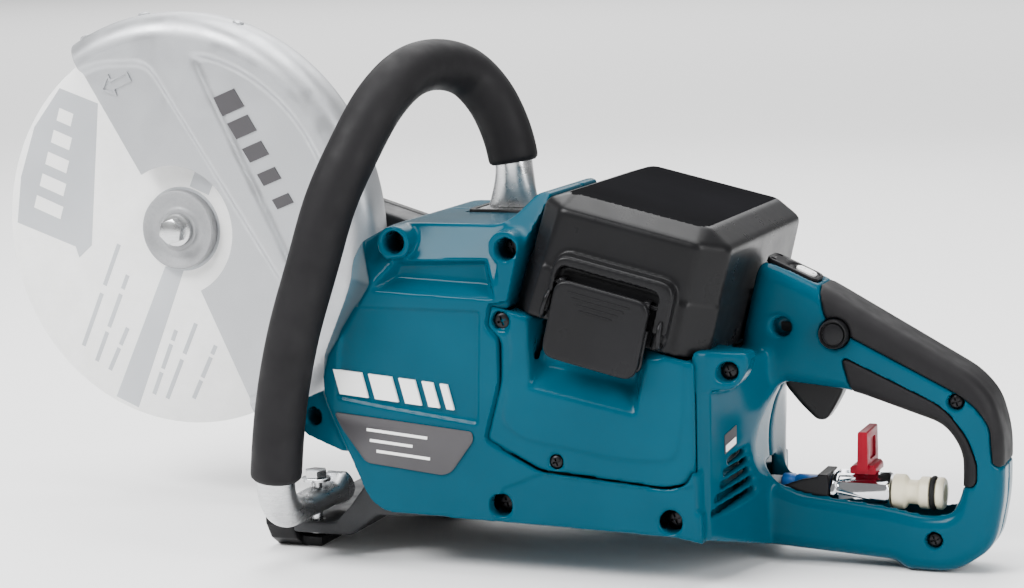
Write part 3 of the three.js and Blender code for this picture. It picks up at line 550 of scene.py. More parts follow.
SIDE = -(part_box("left_housing")[0] * 1000).y
DRIVE_SIDE = 58
SEAM = 0.15
HUB = axis_of("cutting_wheel")
MOTOR = axis_of("rotor_shaft")
HANDLE_HALF = 17
HANDLE_CORNER = 9
GRIP_GAP = 0.3
LOCK_OFF = (216, 0, 122)
HINGE = (0, 88.8, 0)
LATCH_AXIS = (0, -84.6, 22.2)
FOOT_BOLT = (-63, -50, 0)
VALVE_STEM = (229, 0, 0)
WATER_AXIS = (0, 0, 38)
HOSE_AXIS = (0, 0, 39)

MOTOR_BLOCK = [
    (-42, 112), (-40, 90), (-17, 38), (-8, 31), (57.7, 29.2), (57.7, 139.4), (63, 139.4),
    (77, 196), (69, 196), (60, 184.5), (54, 181), (-4, 181), (-22, 171), (-31, 160), (-33, 142),
]
LOWER_STRIP = [(50, 29.2), (150, 26.5), (164, 24), (164, 39.4), (57.7, 46.7), (50, 46.7)]
CASE = [(58, 47.1), (160.4, 40.1), (160.4, 115.7), (65.3, 138.7), (60.8, 138.7), (58, 136.2)]
SIDE_PANEL = [
    (58, 144), (58, 104), (49, 71.5), (79, 56.6), (132, 52.5), (146, 51), (157, 54), (161.5, 64),
    (161.5, 144),
]
HANDLE_OUTLINE = [
    (164.6, 12), (172, 9), (246, 4.5), (252, 0), (277, 0), (297, 14), (302, 40), (302, 72),
    (296.5, 91), (286, 102.5), (209, 145.5), (175.8, 160.5), (165.2, 117),
]
HANDLE_OPENING = [
    (187, 95.5), (224, 92), (272, 76.5), (281, 63), (281, 43), (276, 31), (262, 29.5), (244, 33),
    (196, 38), (182, 44.5), (177.2, 54), (177.2, 70), (181, 86),
]
UPPER_GRIP = [
    (206.5, 151), (211, 129), (220.5, 125.5), (223.5, 120.5), (279, 93), (288, 86.5), (295, 77),
    (296.5, 56), (308, 57), (308, 75), (300, 97), (289, 109), (212, 151),
]
LOWER_GRIP = [
    (219, 110.5), (226, 86), (270, 70), (275, 60), (275, 43.5), (288.8, 46), (289, 57),
    (284, 70.5), (275, 82.5), (268, 88),
]
GRIP_SCREWS = {"grip_screw_upper": (278, 89), "grip_screw_lower": (267, 17)}


def handle_loop(half):
    """The closed D of the rear handle with well rounded rims."""
    loop = prism(HANDLE_OUTLINE, -half, half, radius=HANDLE_CORNER)
    carve(loop, [prism(HANDLE_OPENING, -half * 2, half * 2, radius=HANDLE_CORNER)])
    bevel_edges(loop, 7, 5, 60).use_clamp_overlap = False
    return settle(loop)


# ---------- shared shapes


def inset(points, distance):
    """A polygon moved in by a distance on every side, or out where it is negative."""
    ring = list(zip(points, points[1:] + points[:1]))
    area = sum(a[0] * b[1] - b[0] * a[1] for a, b in ring)
    lines = []
    for a, b in ring:
        along = (Vector(b) - Vector(a)).normalized()
        inward = Vector((-along.y, along.x)) * math.copysign(distance, area * distance)
        lines.append((Vector(a) + inward, along))
    moved = []
    for (start, along), (last, before) in zip(lines, lines[-1:] + lines[:-1]):
        spread = before.x * along.y - before.y * along.x
        gap = start - last
        reach = 0 if abs(spread) < 1e-3 else (gap.x * along.y - gap.y * along.x) / spread
        spot = last + before * reach if abs(spread) >= 1e-3 else start
        moved.append((spot.x, spot.y))
    return moved


def loft(rings, plane="XZ", turn=None):
    """A closed skin through outlines of equal point count, each at its own level."""
    put = PLANES[plane]
    count = len(rings[0][0])
    points = [put(u, v, level) for loop, level in rings for u, v in loop]
    last = (len(rings) - 1) * count
    faces = [tuple(range(count)), tuple(range(last, last + count))]
    for k in range(len(rings) - 1):
        for i in range(count):
            n = (i + 1) % count
            faces.append((k * count + i, k * count + n, (k + 1) * count + n, (k + 1) * count + i))
    return solid(points, faces, turn)


def in_bay(points, y0, y1, radius=0):
    """A prism across Y in the tilted frame of the battery bay."""
    return prism(points, y0, y1, "XZ", radius, BAY)


def hexagon(radius, centre, start=0):
    """Six corners round a centre, the first at the start angle in radians."""
    turns = [i * math.pi / 3 + start for i in range(6)]
    return [(centre[0] + radius * math.cos(a), centre[1] + radius * math.sin(a)) for a in turns]


def at(place, axis):
    """A frame at a place in millimetres whose Z runs along an axis."""
    turn = Vector(axis).to_track_quat("Z", "Y").to_matrix().to_4x4()
    return Matrix.Translation(Vector(place) * MM) @ turn


def cross_head(place, axis, radius, depth):
    """A domed screw head with a cross recess."""
    head = turned([
        (0, -depth), (radius, -depth), (radius, -0.9), (radius * 0.88, -0.3), (radius * 0.6, 0), (0, 0),
    ], ORIGIN, "Z", 48)
    tools = []
    long, wide = radius * 0.6, radius * 0.13
    for angle in (20, 110):
        turn = Matrix.Rotation(math.radians(angle), 4, "Z")
        tools.append(box(-long, long, -wide, wide, -1.6, 1, turn))
    carve(head, tools)
    head.data.transform(at(place, axis))
    return head


# ---------- housing halves

FLANK = [(160.8, 79), (166, 72), (174, 45), (181, 17), (184, 12), (184, SEAM), (160.8, SEAM)]
FLANK_ALONG = Vector((8, 27, 0)).normalized()
PANEL_START = Vector((175.8, 160.5))
PANEL_ALONG = (Vector((209, 145.5)) - PANEL_START).normalized()
PANEL_OUT = Vector((-PANEL_ALONG.y, PANEL_ALONG.x))
CORE_OUTLINE = [
    (200, 139), (207, 143), (284.5, 99.6), (294.5, 89), (299.4, 71), (299.4, 44), (284, 44),
    (284, 64), (273, 79.2), (226, 94.6), (200, 97),
]


def span(side, near, far):
    """Limits along Y on one side of the middle."""
    return sorted((side * near, side * far))


def on_panel(u, v):
    """A point u along the power panel's face and v out from it."""
    spot = PANEL_START + PANEL_ALONG * u + PANEL_OUT * v
    return (spot.x, spot.y)


def strip(u0, u1, v0, v1):
    return [on_panel(u0, v0), on_panel(u1, v0), on_panel(u1, v1), on_panel(u0, v1)]


def screws(name, spots, axis, depth):
    """Screw heads that have no CAD node of their own: a place and a radius for each."""
    for i, (*place, radius) in enumerate(spots):
        head = cross_head(place, axis, radius, depth)
        show(head, slot="fastener", body="saw", name=f"{name}_{i + 1}")


def mirror(obj):
    """Turns a left piece into a right one."""
    for vertex in obj.data.vertices:
        vertex.co.y *= -1
    obj.data.flip_normals()


def flank_x(y):
    """Where the left flank's face stands at a given y."""
    return 166 + (y + 72) * 8 / 27


def air_slots(side):
    """Five rising air slots across the flank where the handle grows out of the body."""
    tools = []
    rows = (
        (-56, -38, 61, 3), (-60, -35, 55.5, 3.5), (-63, -33, 49.5, 4.2), (-68, -31, 43.5, 4.6),
        (-72, -29, 37, 5.4),
    )
    for y0, y1, z0, rise in rows:
        near = Vector((flank_x(y0), y0, z0))
        far = Vector((flank_x(y1), y1, z0 + rise))
        along = (far - near).normalized()
        out = Vector((FLANK_ALONG.y, -FLANK_ALONG.x, 0))
        over = out.cross(along).normalized()
        turn = axes_at((near + far) / 2, along, out, over)
        if side > 0:
            turn = Matrix.Scale(-1, 4, (0, 1, 0)) @ turn
        half = (far - near).length / 2
        outline = [(-half, -1.5), (half, -1.2), (half, 1.2), (-half, 1.3)]
        tools.append(prism(outline, -7, 6, "XZ", 1.1, turn))
    return tools


def shoulder_cuts(side, face):
    """The motor block's side leans in towards the top, and more steeply beside the cover."""
    tools = []
    for x0, x1, foot, run in ((-60, 58.5, 152, 18), (57, 90, 166, 36)):
        top, out = face - run, face + 20
        outline = [(top, foot + 30), (top, 230), (out, 230), (out, foot), (face, foot)]
        tools.append(prism([(side * y, z) for y, z in outline], x0, x1, "YZ"))
    return tools


def handle_core(side):
    """The narrower bar of the handle inside its soft grips."""
    core = prism(CORE_OUTLINE, *span(side, SEAM, 13.2), radius=5)
    return carve(core, handle_cuts(side))


def handle_cuts(side):
    """Room for the trigger, the buttons, the screws, the front handle's plate and the water valve."""
    tools = [
        box(196, 277, -12, 12, 22.5, 50),
        box(150, 200, -12, 12, 30, 52),
        box(150, 168, -12, 18, 30, 48),
        box(184, 224, -7.6, 7.6, 80, 118),
        box(14, 59, -16, 26, 179, 190),
        rod(LOCK_OFF, 8.1, -30, 30),
        rod(LOCK_OFF, 10, -11, 11),
        rod((188, 0, 124.5), 5.4, *span(side, 8, 30)),
        prism(strip(2.7, 32.3, -2.5, 6), -10.3, 10.3),
    ]
    for x, z in GRIP_SCREWS.values():
        tools += [rod((x, 0, z), 2.3, -20, 12), rod((x, 0, z), 4.4, -20, -12)]
    return tools


HATCH = [(-11, 147.5), (-2, 166), (54, 168), (57, 144.5)]
LOWER_FIELD = [(50, 20), (58.5, 47.5), (79.5, 56.2), (133, 52), (157, 53), (170, 60), (170, 20)]
FRONT_FIELD = [(-31, 116), (-27, 139), (49, 139), (46.5, 79.5), (-6, 86), (-33, 90)]
COVER_FIELD = [(51.2, 130.8), (53.5, 143), (66, 143), (66, 115), (59, 122.4)]


def front_facet():
    """The slanting facet at the front of the motor block, wider towards the top."""
    rings = []
    for level, start, depth in ((98, -41, 14), (112, -37, 16), (150, -12, 20), (200, -4, 22)):
        points = [
            (start, -SIDE - 8), (start, -SIDE), (start - depth, depth - SIDE), (-80, depth - SIDE),
            (-80, -SIDE - 8),
        ]
        rings.append((points, level))
    return loft(rings, "XY")


def left_details(body):
    """Bosses, bores and sunk panels on the side that faces the operator."""
    join(
        body,
        rod((1, 0, 172), 9, 1.5 - SIDE, -60),
        rod((62, 0, 171), 8.6, 1 - SIDE, -60),
        prism([(-57, 78), (-54, 70), (-28, 60), (-20, 98), (-44, 93), (-56, 87)], -82, -56, radius=5),
    )
    carve(body, [
        box(-17.7, 86.8, -95, 90, -0.4, 90, BAY),
        rod((1, 0, 172.5), 6, -90, -62),
        rod((63, 0, 170.5), 5.8, -90, -66),
        rod((57, 0, 38), 6, -90, -66),
        rod((148, 0, 34.5), 6, -90, -66),
        rod((-48, 0, 79.5), 4.9, -90, -66),
        loft([(HATCH, -92), (HATCH, -SIDE), (inset(HATCH, 6), -73.5)]),
        front_facet(),
        prism(LOWER_FIELD, -90, -82.9),
        prism(FRONT_FIELD, -90, -82.6, radius=3),
        prism(COVER_FIELD, -90, -80.8, radius=1.5),
        prism(SIDE_PANEL, -90, -80.8, radius=4),
        rod((59.8, 0, 133.7), 5.4, -90, -74),
    ])


def right_details(body):
    """Air slots and bores on the drive side."""
    tools = [rod((0, 70, 40), 5, 40, 62, "X")]
    for i in range(6):
        x = 14 + i * 6.4
        outline = [(x, 143), (x + 3, 143), (x + 5, 156), (x + 2, 156)]
        tools.append(prism(outline, DRIVE_SIDE - 6, DRIVE_SIDE + 3, radius=1.2))
    for x, z in ((51, 38), (-26, 62), (148, 34.5)):
        face = SIDE if x > 100 else DRIVE_SIDE
        tools.append(rod((x, 0, z), 4.8, face - 14, face + 4))
    carve(body, tools)


TALL_ROOM = [
    (-34, 112), (-34, 92), (-13, 42), (-6, 36), (53.5, 34), (53.5, 174), (0, 174), (-18, 165),
    (-27, 156),
]
WIDE_ROOM = [(-12, 125), (-20, 92), (-8, 44), (-2, 36), (53.5, 34), (53.5, 138), (-4, 138)]
EAR = [
    (159, 100.4), (176.6, 100.4), (180.6, 103.6), (184, 110.4), (185.4, 117), (183, 119), (159, 121),
]
EAR_PLAN = [(158, 81), (165.4, 74.6), (188, 65.4), (188, 50), (158, 50)]


def flare(point):
    """How much a point belongs to the flare between body and handle."""
    if point.x < 161 or point.z < 22:
        return 0
    return max(0, 1 - abs(point.x - 177) / 15) * (0.9 if abs(point.y) < 66 else 0.4)


def housing(side):
    """One half of the body, made outside in: block, handle and flank, then rooms, bores and ear."""
    name = "left_housing" if side < 0 else "right_housing"
    face = SIDE if side < 0 else DRIVE_SIDE
    body = prism(MOTOR_BLOCK, *span(side, SEAM, face), radius=5)
    carve(body, shoulder_cuts(side, face))
    handle = common(handle_loop(HANDLE_HALF), box(100, 400, -60, -SEAM, -20, 260))
    carve(handle, [prism(UPPER_GRIP, -40, 40, radius=4), prism(LOWER_GRIP, -40, 40, radius=4)])
    if side > 0:
        mirror(handle)
    flank = [(x, side * y) for x, y in FLANK]
    wedge = [(side * y, z) for y, z in ((79, 25.4), (17, 10), (SEAM, 10), (SEAM, 26), (79, 26))]
    chin = common(prism(flank, 4, 26, "XY"), prism(wedge, 155, 190, "YZ"))
    join(
        body,
        chin,
        prism([(160.5, side * SIDE), (163.4, side * 77), (160.5, side * 77)], 37, 60, "XY"),
        prism(LOWER_STRIP, *span(side, SEAM, SIDE)),
        prism(flank, 25, 112, "XY"),
        handle,
        prism([(56, 45), (56, 69), (79, 60), (132, 56), (160.7, 66), (160.7, 39)], *span(side, 80.9, SIDE)),
    )
    neck = ((163.6, 75), (169, 44), (173.5, 14), (173.5, -1), (163.6, -1))
    hollow = [
        prism([(54, 48), (160.7, 43), (160.7, 30), (150, 30), (54, 33)], *span(side, -1, 80.4)),
        prism(TALL_ROOM, *span(side, -1, face - 24)),
        prism(WIDE_ROOM, *span(side, -1, face - 8)),
        prism([(x, side * y) for x, y in neck], 30, 108, "XY"),
        box(-17.7, 86.8, -90, 90, -0.4, 90, BAY),
        prism(HANDLE_OPENING, -40, 40, radius=HANDLE_CORNER),
    ]
    carve(body, hollow + handle_cuts(side))
    if side < 0:
        left_details(body)
        join(body, turned([(16.3, -81), (20.3, -81), (20.3, -64), (16.3, -64)], MOTOR))
    else:
        right_details(body)
        join(body, turned([(16.4, 44), (21, 44), (21, 57.5), (16.4, 57.5)], MOTOR))
        carve(body, [rod(MOTOR, 16.4, 40, 70)])
    ear = common(
        prism(EAR, *span(side, 50, 78), radius=3),
        prism([(x, side * y) for x, y in EAR_PLAN], 90, 130, "XY"),
    )
    join(body, handle_core(side), ear)
    carve(body, [rod((174.6, 0, 109.6), 5.2, *span(side, 60, 82))])
    carve(body, air_slots(side))
    moulded(body, 1.0, 5, flare, 60)
    show(body, name)


# ---------- battery case

CASE_SIDE = [
    (54.4, 144), (51.4, 130.6), (60, 122.2), (58.8, 104.4), (49.8, 71.8), (79.2, 57.2), (132.9, 53.1),
    (144, 51.9), (156, 54.4), (161, 64), (161, 144),
]
CASE_RAISED = [
    (60, 150), (66, 118.8), (59.6, 81.3), (69.6, 74.1), (121, 65.8), (138.4, 65.6), (151, 66.5),
    (155.5, 90), (157, 150),
]
SCOOP = [(74.5, 150), (74.3, 100), (131.5, 88.5), (137, 117), (146, 117.5), (146, 150)]
SCOOP_FLOOR = [(79.5, 150), (79.3, 111), (127.5, 102), (132.5, 123), (141, 124), (141, 150)]
FLOOR_ROOM = [(62, 30), (156.5, 30), (156.5, 54.5), (62, 77)]


def case_steps(point):
    """The step round the raised panel and the scoop's slopes are soft."""
    return 0.8 if abs(point.y) > 72 and point.z > 55 else 0


def battery_case():
    """The open box between the housing halves, with a raised panel and a scoop on its left side."""
    shell = prism(CASE, -80.5, 80.5, radius=4)
    sides = [prism(CASE_SIDE, *span(side, 80, SIDE), radius=2.5) for side in (-1, 1)]
    knuckles = []
    for start, end in ((8, 19.5), (50.5, 62)):
        knuckles += [
            box(start, end, 82, 88.8, -3.9, -1, BAY),
            rod(HINGE, 4, start, end, "X", turn=BAY),
        ]
    join(shell, *sides, *knuckles)
    rims = []
    for side in (-1, 1):
        rim = prism(inset(CASE_SIDE, -4), *span(side, SIDE - 1.3, SIDE + 8))
        rims.append(carve(rim, [prism(CASE_RAISED, *span(side, SIDE - 4, SIDE + 12), radius=6)]))
    carve(shell, rims + [
        box(-1.2, 78.2, -79, 79, -62.6, 30, BAY),
        prism(FLOOR_ROOM, -80.5, 80.5),
        box(150, 170, -14, 34, 30, 50),
        rod(HINGE, 2.1, 0, 70, "X", turn=BAY),
        box(19.6, 50.4, 84.1, 100, -8, 8, BAY),
    ])
    join(shell, in_bay([(2, -44), (66, -44), (66, 2), (2, 2)], -79.5, -70.5))
    carve(shell, [
        loft([(SCOOP, -95), (SCOOP, -SIDE), (SCOOP_FLOOR, -73.4)]),
        box(-60, 140, -120, 120, -0.25, 120, BAY),
        rod((87.5, 0, 62.1), 4.2, -90, -80.6),
        rod((59.6, 0, 133.6), 5.2, -90, -80),
    ])
    moulded(shell, 1.0, 4, case_steps, 14)
    show(shell, "battery_case")


# ---------- battery cover and latch



def symmetric(points):
    """An outline from its half at negative y."""
    return points + [(x, -y) for x, y in reversed(points)]


COVER_LOW = symmetric([(-17, -68), (-6.4, -81), (73, -81), (86, -68)])
COVER_MID = symmetric([(-14.5, -66), (-1, -80), (72.3, -80), (86, -67)])
COVER_TOP = symmetric([(-1, -64), (1, -66), (70, -66), (71.7, -64)])
# height in the bay above which the cover's flat top gets the painted shade
PAINTED_SHADE_ABOVE = 63.5


def between(first, second, share):
    return [tuple(Vector(a).lerp(Vector(b), share)) for a, b in zip(first, second)]


def cover_rings(margin, foot):
    """The cover's three outlines and their levels, moved in by a margin."""
    tops = ((COVER_LOW, foot), (COVER_MID, 57.5 - margin * 0.5), (COVER_TOP, 65 - margin))
    return [(inset(points, margin), level) for points, level in tops]


def battery_cover():
    """The tall lid over the packs; its flat top wears a copy of the black plastic without any reflection,
    painted shade that keeps the top dark.
    """
    shell = bevelled(loft(cover_rings(0, 0.15), "XY", BAY), 3.2, 4, 12)
    step = between(COVER_LOW, COVER_MID, 0.46)
    skirt = loft([(inset(COVER_LOW, -0.7), 0.15), (inset(step, -0.7), 26.6), (step, 27.6)], "XY", BAY)
    rib = in_bay([(2.8, 0.6), (2.8, 36.5), (68, 36.5), (68, 0.6)], -88, -78.5, 9)
    bevelled(rib, 1.4, 3, 50)
    carve(rib, [in_bay([(6, -20), (6, 31), (60.6, 31), (60.6, -20)], -95, -70, 5)])
    knuckle = [box(20, 50, 79.5, 88.8, 1.2, 4, BAY), rod(HINGE, 4, 20, 50, "X", turn=BAY)]
    join(shell, skirt, rib, *knuckle)
    carve(shell, [
        loft(cover_rings(2.8, -3), "XY", BAY),
        rod(LATCH_AXIS, 1.8, 3.9, 67, "X", turn=BAY),
        rod(HINGE, 2.1, 0, 70, "X", turn=BAY),
        in_bay([(2.6, 0.2), (2.6, 7), (6.2, 7), (6.2, 0.2)], -90, -84.5),
        in_bay([(60.4, 0.2), (60.4, 10), (68.4, 10), (68.4, 0.2)], -90, -84.5),
    ])
    moulded(shell, 1.0, 6)
    show(shell, "battery_cover")
    # the flat top faces get the reflectionless copy of the black plastic: painted shade, not a real duller
    # finish
    shell.data.materials.append(MATERIALS["painted_shade_top"])
    level = BAY.inverted()
    for polygon in shell.data.polygons:
        if (level @ (polygon.center * 1000)).z > PAINTED_SHADE_ABOVE and polygon.normal.z > 0.9:
            polygon.material_index = 1


def latch():
    """The latch lever with its wire bail, its pin and the two wire hooks on the cover."""
    plate = in_bay([(7, -16), (58, -16), (58, 25), (7, 25)], -91.5, -87.4, 8)
    bevelled(plate, 1.7, 4, 50)
    ears = [box(a, b, -88.4, -82, 18, 25, BAY) for a, b in ((8, 11), (54, 57))]
    join(plate, *ears)
    carve(plate, [rod(LATCH_AXIS, 1.8, 0, 70, "X", turn=BAY)])
    moulded(plate, 0.6, 4)
    bars = []
    for i in range(4):
        inward, foot = i * 2.6, 19.4 - i * 2.7
        bars.append(box(15 + inward, 48 - inward, -91.85, -91, foot, foot + 0.7, BAY))
    join(plate, *bars)
    show(plate, "latch_lever")
    pin = rod(LATCH_AXIS, 1.5, 4.3, 66.6, "X", turn=BAY)
    show(pin, "latch_pin")
    corners = [
        (7.6, 10), (7.6, -2), (7.6, -9.5), (10, -11.5), (33, -12), (55, -11.5), (57.4, -9.5), (57.4, -2),
        (57.4, 10),
    ]
    wire = swept([BAY @ Vector((s, -85.7, t)) for s, t in corners], 1.2, 120, 16)
    show(wire, "latch_bail")
    bend = [(-84, 12), (-87.5, 13.2), (-90, 11), (-90.4, 6), (-89, 1.6), (-86.6, 0.8), (-84.6, 1.6)]
    for name, s, flip in (("cover_hook_left", 4.4, -1), ("cover_hook_right", 64.6, 1)):
        path = [BAY @ Vector((s + flip * (1.4 - 0.11 * t), y, t + 3)) for y, t in bend]
        show(swept(path, 1.25, 60, 16), slot="fastener", body="cover", name=name)


# ---------- rear handle

GRIP_GROOVE = [
    (224, 103.6), (262, 87), (275, 75.5), (281, 62), (281.4, 60), (281.8, 62.4), (275.8, 76.4),
    (262.5, 88), (224.4, 104.5),
]


def handle_grips():
    """The two soft overmoulds and the two screws that hold the handle together."""
    for name, zone in (("grip_upper", UPPER_GRIP), ("grip_lower", LOWER_GRIP)):
        grip = common(handle_loop(HANDLE_HALF + 0.8), prism(inset(zone, GRIP_GAP), -40, 40, radius=4))
        carve(grip, [
            prism(inset(CORE_OUTLINE, -0.4), -13.5, 13.5, radius=5),
            rod(LOCK_OFF, 8.1, -30, 30),
        ])
        if name == "grip_lower":
            carve(grip, [prism(GRIP_GROOVE, *span(side, 17.2, 20)) for side in (-1, 1)])
        moulded(grip, 0.9, 3)
        show(grip, name)
    for name, (x, z) in GRIP_SCREWS.items():
        head = cross_head((x, -15, z), (0, -1, 0), 3.7, 2.7)
        join(head, rod((x, 0, z), 2, -12.6, 11.5))
        show(head, name)


def trigger_set():
    """The trigger and the lock-off button that passes through the handle."""
    outline = [
        (186.5, 92.5), (195, 82.5), (203.5, 74.5), (208.5, 74.5), (212.5, 80.5), (217, 89), (219.5, 98),
        (213, 106.5), (190, 107), (187.5, 100),
    ]
    blade = bevelled(prism(outline, -6.8, 6.8, radius=3), 2.2, 4, 50)
    carve(blade, [rod((193, 0, 103), 2.1, -10, 10)])
    moulded(blade, 0.7, 4)
    show(blade, "trigger")
    button = turned([
        (0, -20.6), (3.4, -20.9), (5.4, -20.3), (5.9, -19.2), (6.3, -19.2), (6.7, -20.9), (7.2, -21),
        (7.6, -20.2), (7.6, -9.5), (9.2, -9.5), (9.2, -7), (7.6, -7), (7.6, 17.4), (7, 18), (0, 18.4),
    ], LOCK_OFF)
    show(button, "lock_off_button")


PANEL = axes_at(
    (PANEL_START.x, 0, PANEL_START.y),
    (PANEL_ALONG.x, 0, PANEL_ALONG.y), (0, 1, 0), (PANEL_OUT.x, 0, PANEL_OUT.y),
)


def power_set():
    """The power panel on the handle's top and its button."""
    outline = [(3.2, -7), (6, -9.8), (29, -9.8), (31.8, -7), (31.8, 7), (29, 9.8), (6, 9.8), (3.2, 7)]
    plate = prism(outline, -2.2, 0.8, "XY", 2.5, PANEL)
    bevelled(plate, 0.5, 3, 50)
    well = [(17.6, -4.4), (29.4, -4.4), (29.4, 4.4), (17.6, 4.4)]
    recess = [(14.5, -7), (30.3, -7), (30.3, 7), (14.5, 7)]
    carve(plate, [
        prism(well, -1.3, 3, "XY", 4.2, PANEL),
        prism(recess, 0.3, 3, "XY", 4, PANEL),
        *(rod((6.2, y, 0.1), 1.7, 0, 3, "Z", 24, PANEL) for y in (-6.5, 6.5)),
    ])
    show(crisp(plate, 0.15), "power_panel")
    button = prism([(18, -4), (29, -4), (29, 4), (18, 4)], -0.2, 1.5, "XY", 4, PANEL)
    bevelled(button, 0.6, 3, 50)
    grooves = [20 + i * 2.2 for i in range(4)]
    carve(button, [box(x, x + 1, -2.6, 2.6, 1.2, 3, PANEL) for x in grooves])
    show(crisp(button, 0.1), "power_button")


# ---------- front handle

TUBE_PATH = [
    (-62, -24, 29), (-63, -50, 27.5), (-64, -74, 27.5), (-64, -90, 32), (-63, -98, 42),
    (-61, -100, 60), (-57, -100, 90), (-49, -100, 125), (-37, -99, 162), (-27, -96, 194),
    (-18, -88, 218), (-8, -72, 244), (-1, -50, 257.5), (6, -24, 260), (14, -5, 254), (23, 3, 241),
    (31, 6, 222), (35, 6.5, 203), (36, 6.5, 182),
]


def front_handle():
    """The bent tube, flattened on its foot and flared above its top plate, inside a soft sleeve."""
    spots = along_curve(TUBE_PATH, 400)
    covered = [p for p in spots if p.z > 48 and not (p.x > 10 and p.z < 205)]

    def lip(share):
        edge = min(share, 1 - share) * 430
        return 13.5 - 1.8 * math.exp(-edge / 1.1)

    sleeve = swept(covered, lip, 260, 48, 10.3)
    show(sleeve, "front_handle_sleeve")
    tube = swept(spots, 10, 300, 48)
    for vertex in tube.data.vertices:
        point = vertex.co * 1000
        if point.x > 10 and point.z < 206:
            share = (206 - point.z) / 26
            point.x = 35.7 + (point.x - 35.7) * (1 + 0.5 * share ** 1.6) - 2 * share
            point.y = 6.5 + (point.y - 6.5) * (1 - 0.25 * share)
        if point.x < -40 and point.z < 40:
            share = min(1, max(0, (-point.y - 26) / 12)) * min(1, max(0, (point.y + 86) / 16))
            point.z = 27.2 + (point.z - 27.2) * (1 - 0.32 * share)
        vertex.co = point * MM
    carve(tube, [
        box(-80, -40, -64, -10, 37.4, 60),
        rod(FOOT_BOLT, 3.5, 0, 60, "Z"),
        box(0, 80, -30, 50, 170, 182.2),
    ])
    show(tube, "front_handle_tube")
    plate = prism([(16, -14), (58, -14), (58, 24), (16, 24)], 179.3, 181.7, "XY", 4)
    show(crisp(plate, 0.5, 3), "handle_top_plate")
    frame_bars = prism([(15.4, -14.6), (58.6, -14.6), (58.6, 24.6), (15.4, 24.6)], 179.2, 182.3, "XY", 4)
    carve(frame_bars, [prism([(18, -12), (56, -12), (56, 22), (18, 22)], 170, 190, "XY", 3)])
    show(crisp(frame_bars, 0.4), slot="black", body="saw", name="top_plate_frame")
    washer = turned([(3.6, 37.7), (8, 37.7), (8, 39.1), (7.6, 39.4), (3.6, 39.4)], FOOT_BOLT, "Z", 64)
    show(washer, "handle_washer")
    head = prism(hexagon(6.2, FOOT_BOLT), 39.7, 43.5, "XY")
    common(head, turned([(0, 39), (9, 39), (9, 41.6), (5.2, 43.9), (0, 43.9)], FOOT_BOLT, "Z", 64))
    join(head, rod(FOOT_BOLT, 3.1, 9, 40, "Z"))
    show(head, "handle_screw")


# ---------- wheel and guard


def around(angle, radius, y):
    """A point round the wheel's axis; the angle is in degrees, up from +X."""
    turn = math.radians(angle)
    return Vector((HUB.x + radius * math.cos(turn), y, HUB.z + radius * math.sin(turn)))


def past(line, inside, x, z):
    """Distance of a point from a line, counted positive on the side where inside lies."""
    start, end = Vector(line[0]), Vector(line[1])
    along = (end - start).normalized()
    across = Vector((-along.y, along.x))
    if across.dot(Vector(inside) - start) < 0:
        across = -across
    return across.dot(Vector((x, z)) - start)


def blend_low(values, softness=3.0):
    """The least of the values with its corners rounded."""
    return -softness * math.log(sum(math.exp(-v / softness) for v in values))


def guard_sink(x, z):
    """Depth of the two pressed fields in the guard's face, either side of the raised bar."""
    reach = math.hypot(x - HUB.x, z - HUB.z)
    lobe = blend_low([
        past([(-194.5, 255.4), (-117, 134.9)], (HUB.x, HUB.z), x, z),
        260.5 - z,
        110 - reach,
    ])
    field = blend_low([
        past([(-172.7, 264.1), (-103.6, 122.6)], (-100, 200), x, z),
        106 - reach,
    ])
    depth = max(lobe, field) / 3.6
    share = min(1, max(0, depth))
    return 3 * share * share * (3 - 2 * share)


GUARD_RIM = [
    (112, 27), (115.5, 27.5), (118.6, 28.9), (121.6, 31.2), (123.8, 33.8), (125.3, 36.8), (126, 40),
    (126, 46), (126, 50.4), (125.4, 51.6), (124.4, 52), (118, 52), (100, 52), (70, 52), (45, 52),
    (31, 52),
]
GUARD_INNER = [
    (31, 50.2), (45, 50.2), (70, 50.2), (100, 50.2), (118, 50.2), (124.2, 50.2), (124.2, 46),
    (124.2, 40.5), (123.5, 37.6), (122, 34.8), (120, 32.6), (117.4, 30.8), (114.6, 29.4), (112, 28.8),
]
GUARD_STEPS = 53
GUARD_TURNS = 187
ARROW = [
    (-230, 242.4), (-219.4, 239.2), (-221.2, 243.2), (-209.6, 247.8), (-212.6, 253.6),
    (-223.4, 248.6), (-225, 252.4),
]


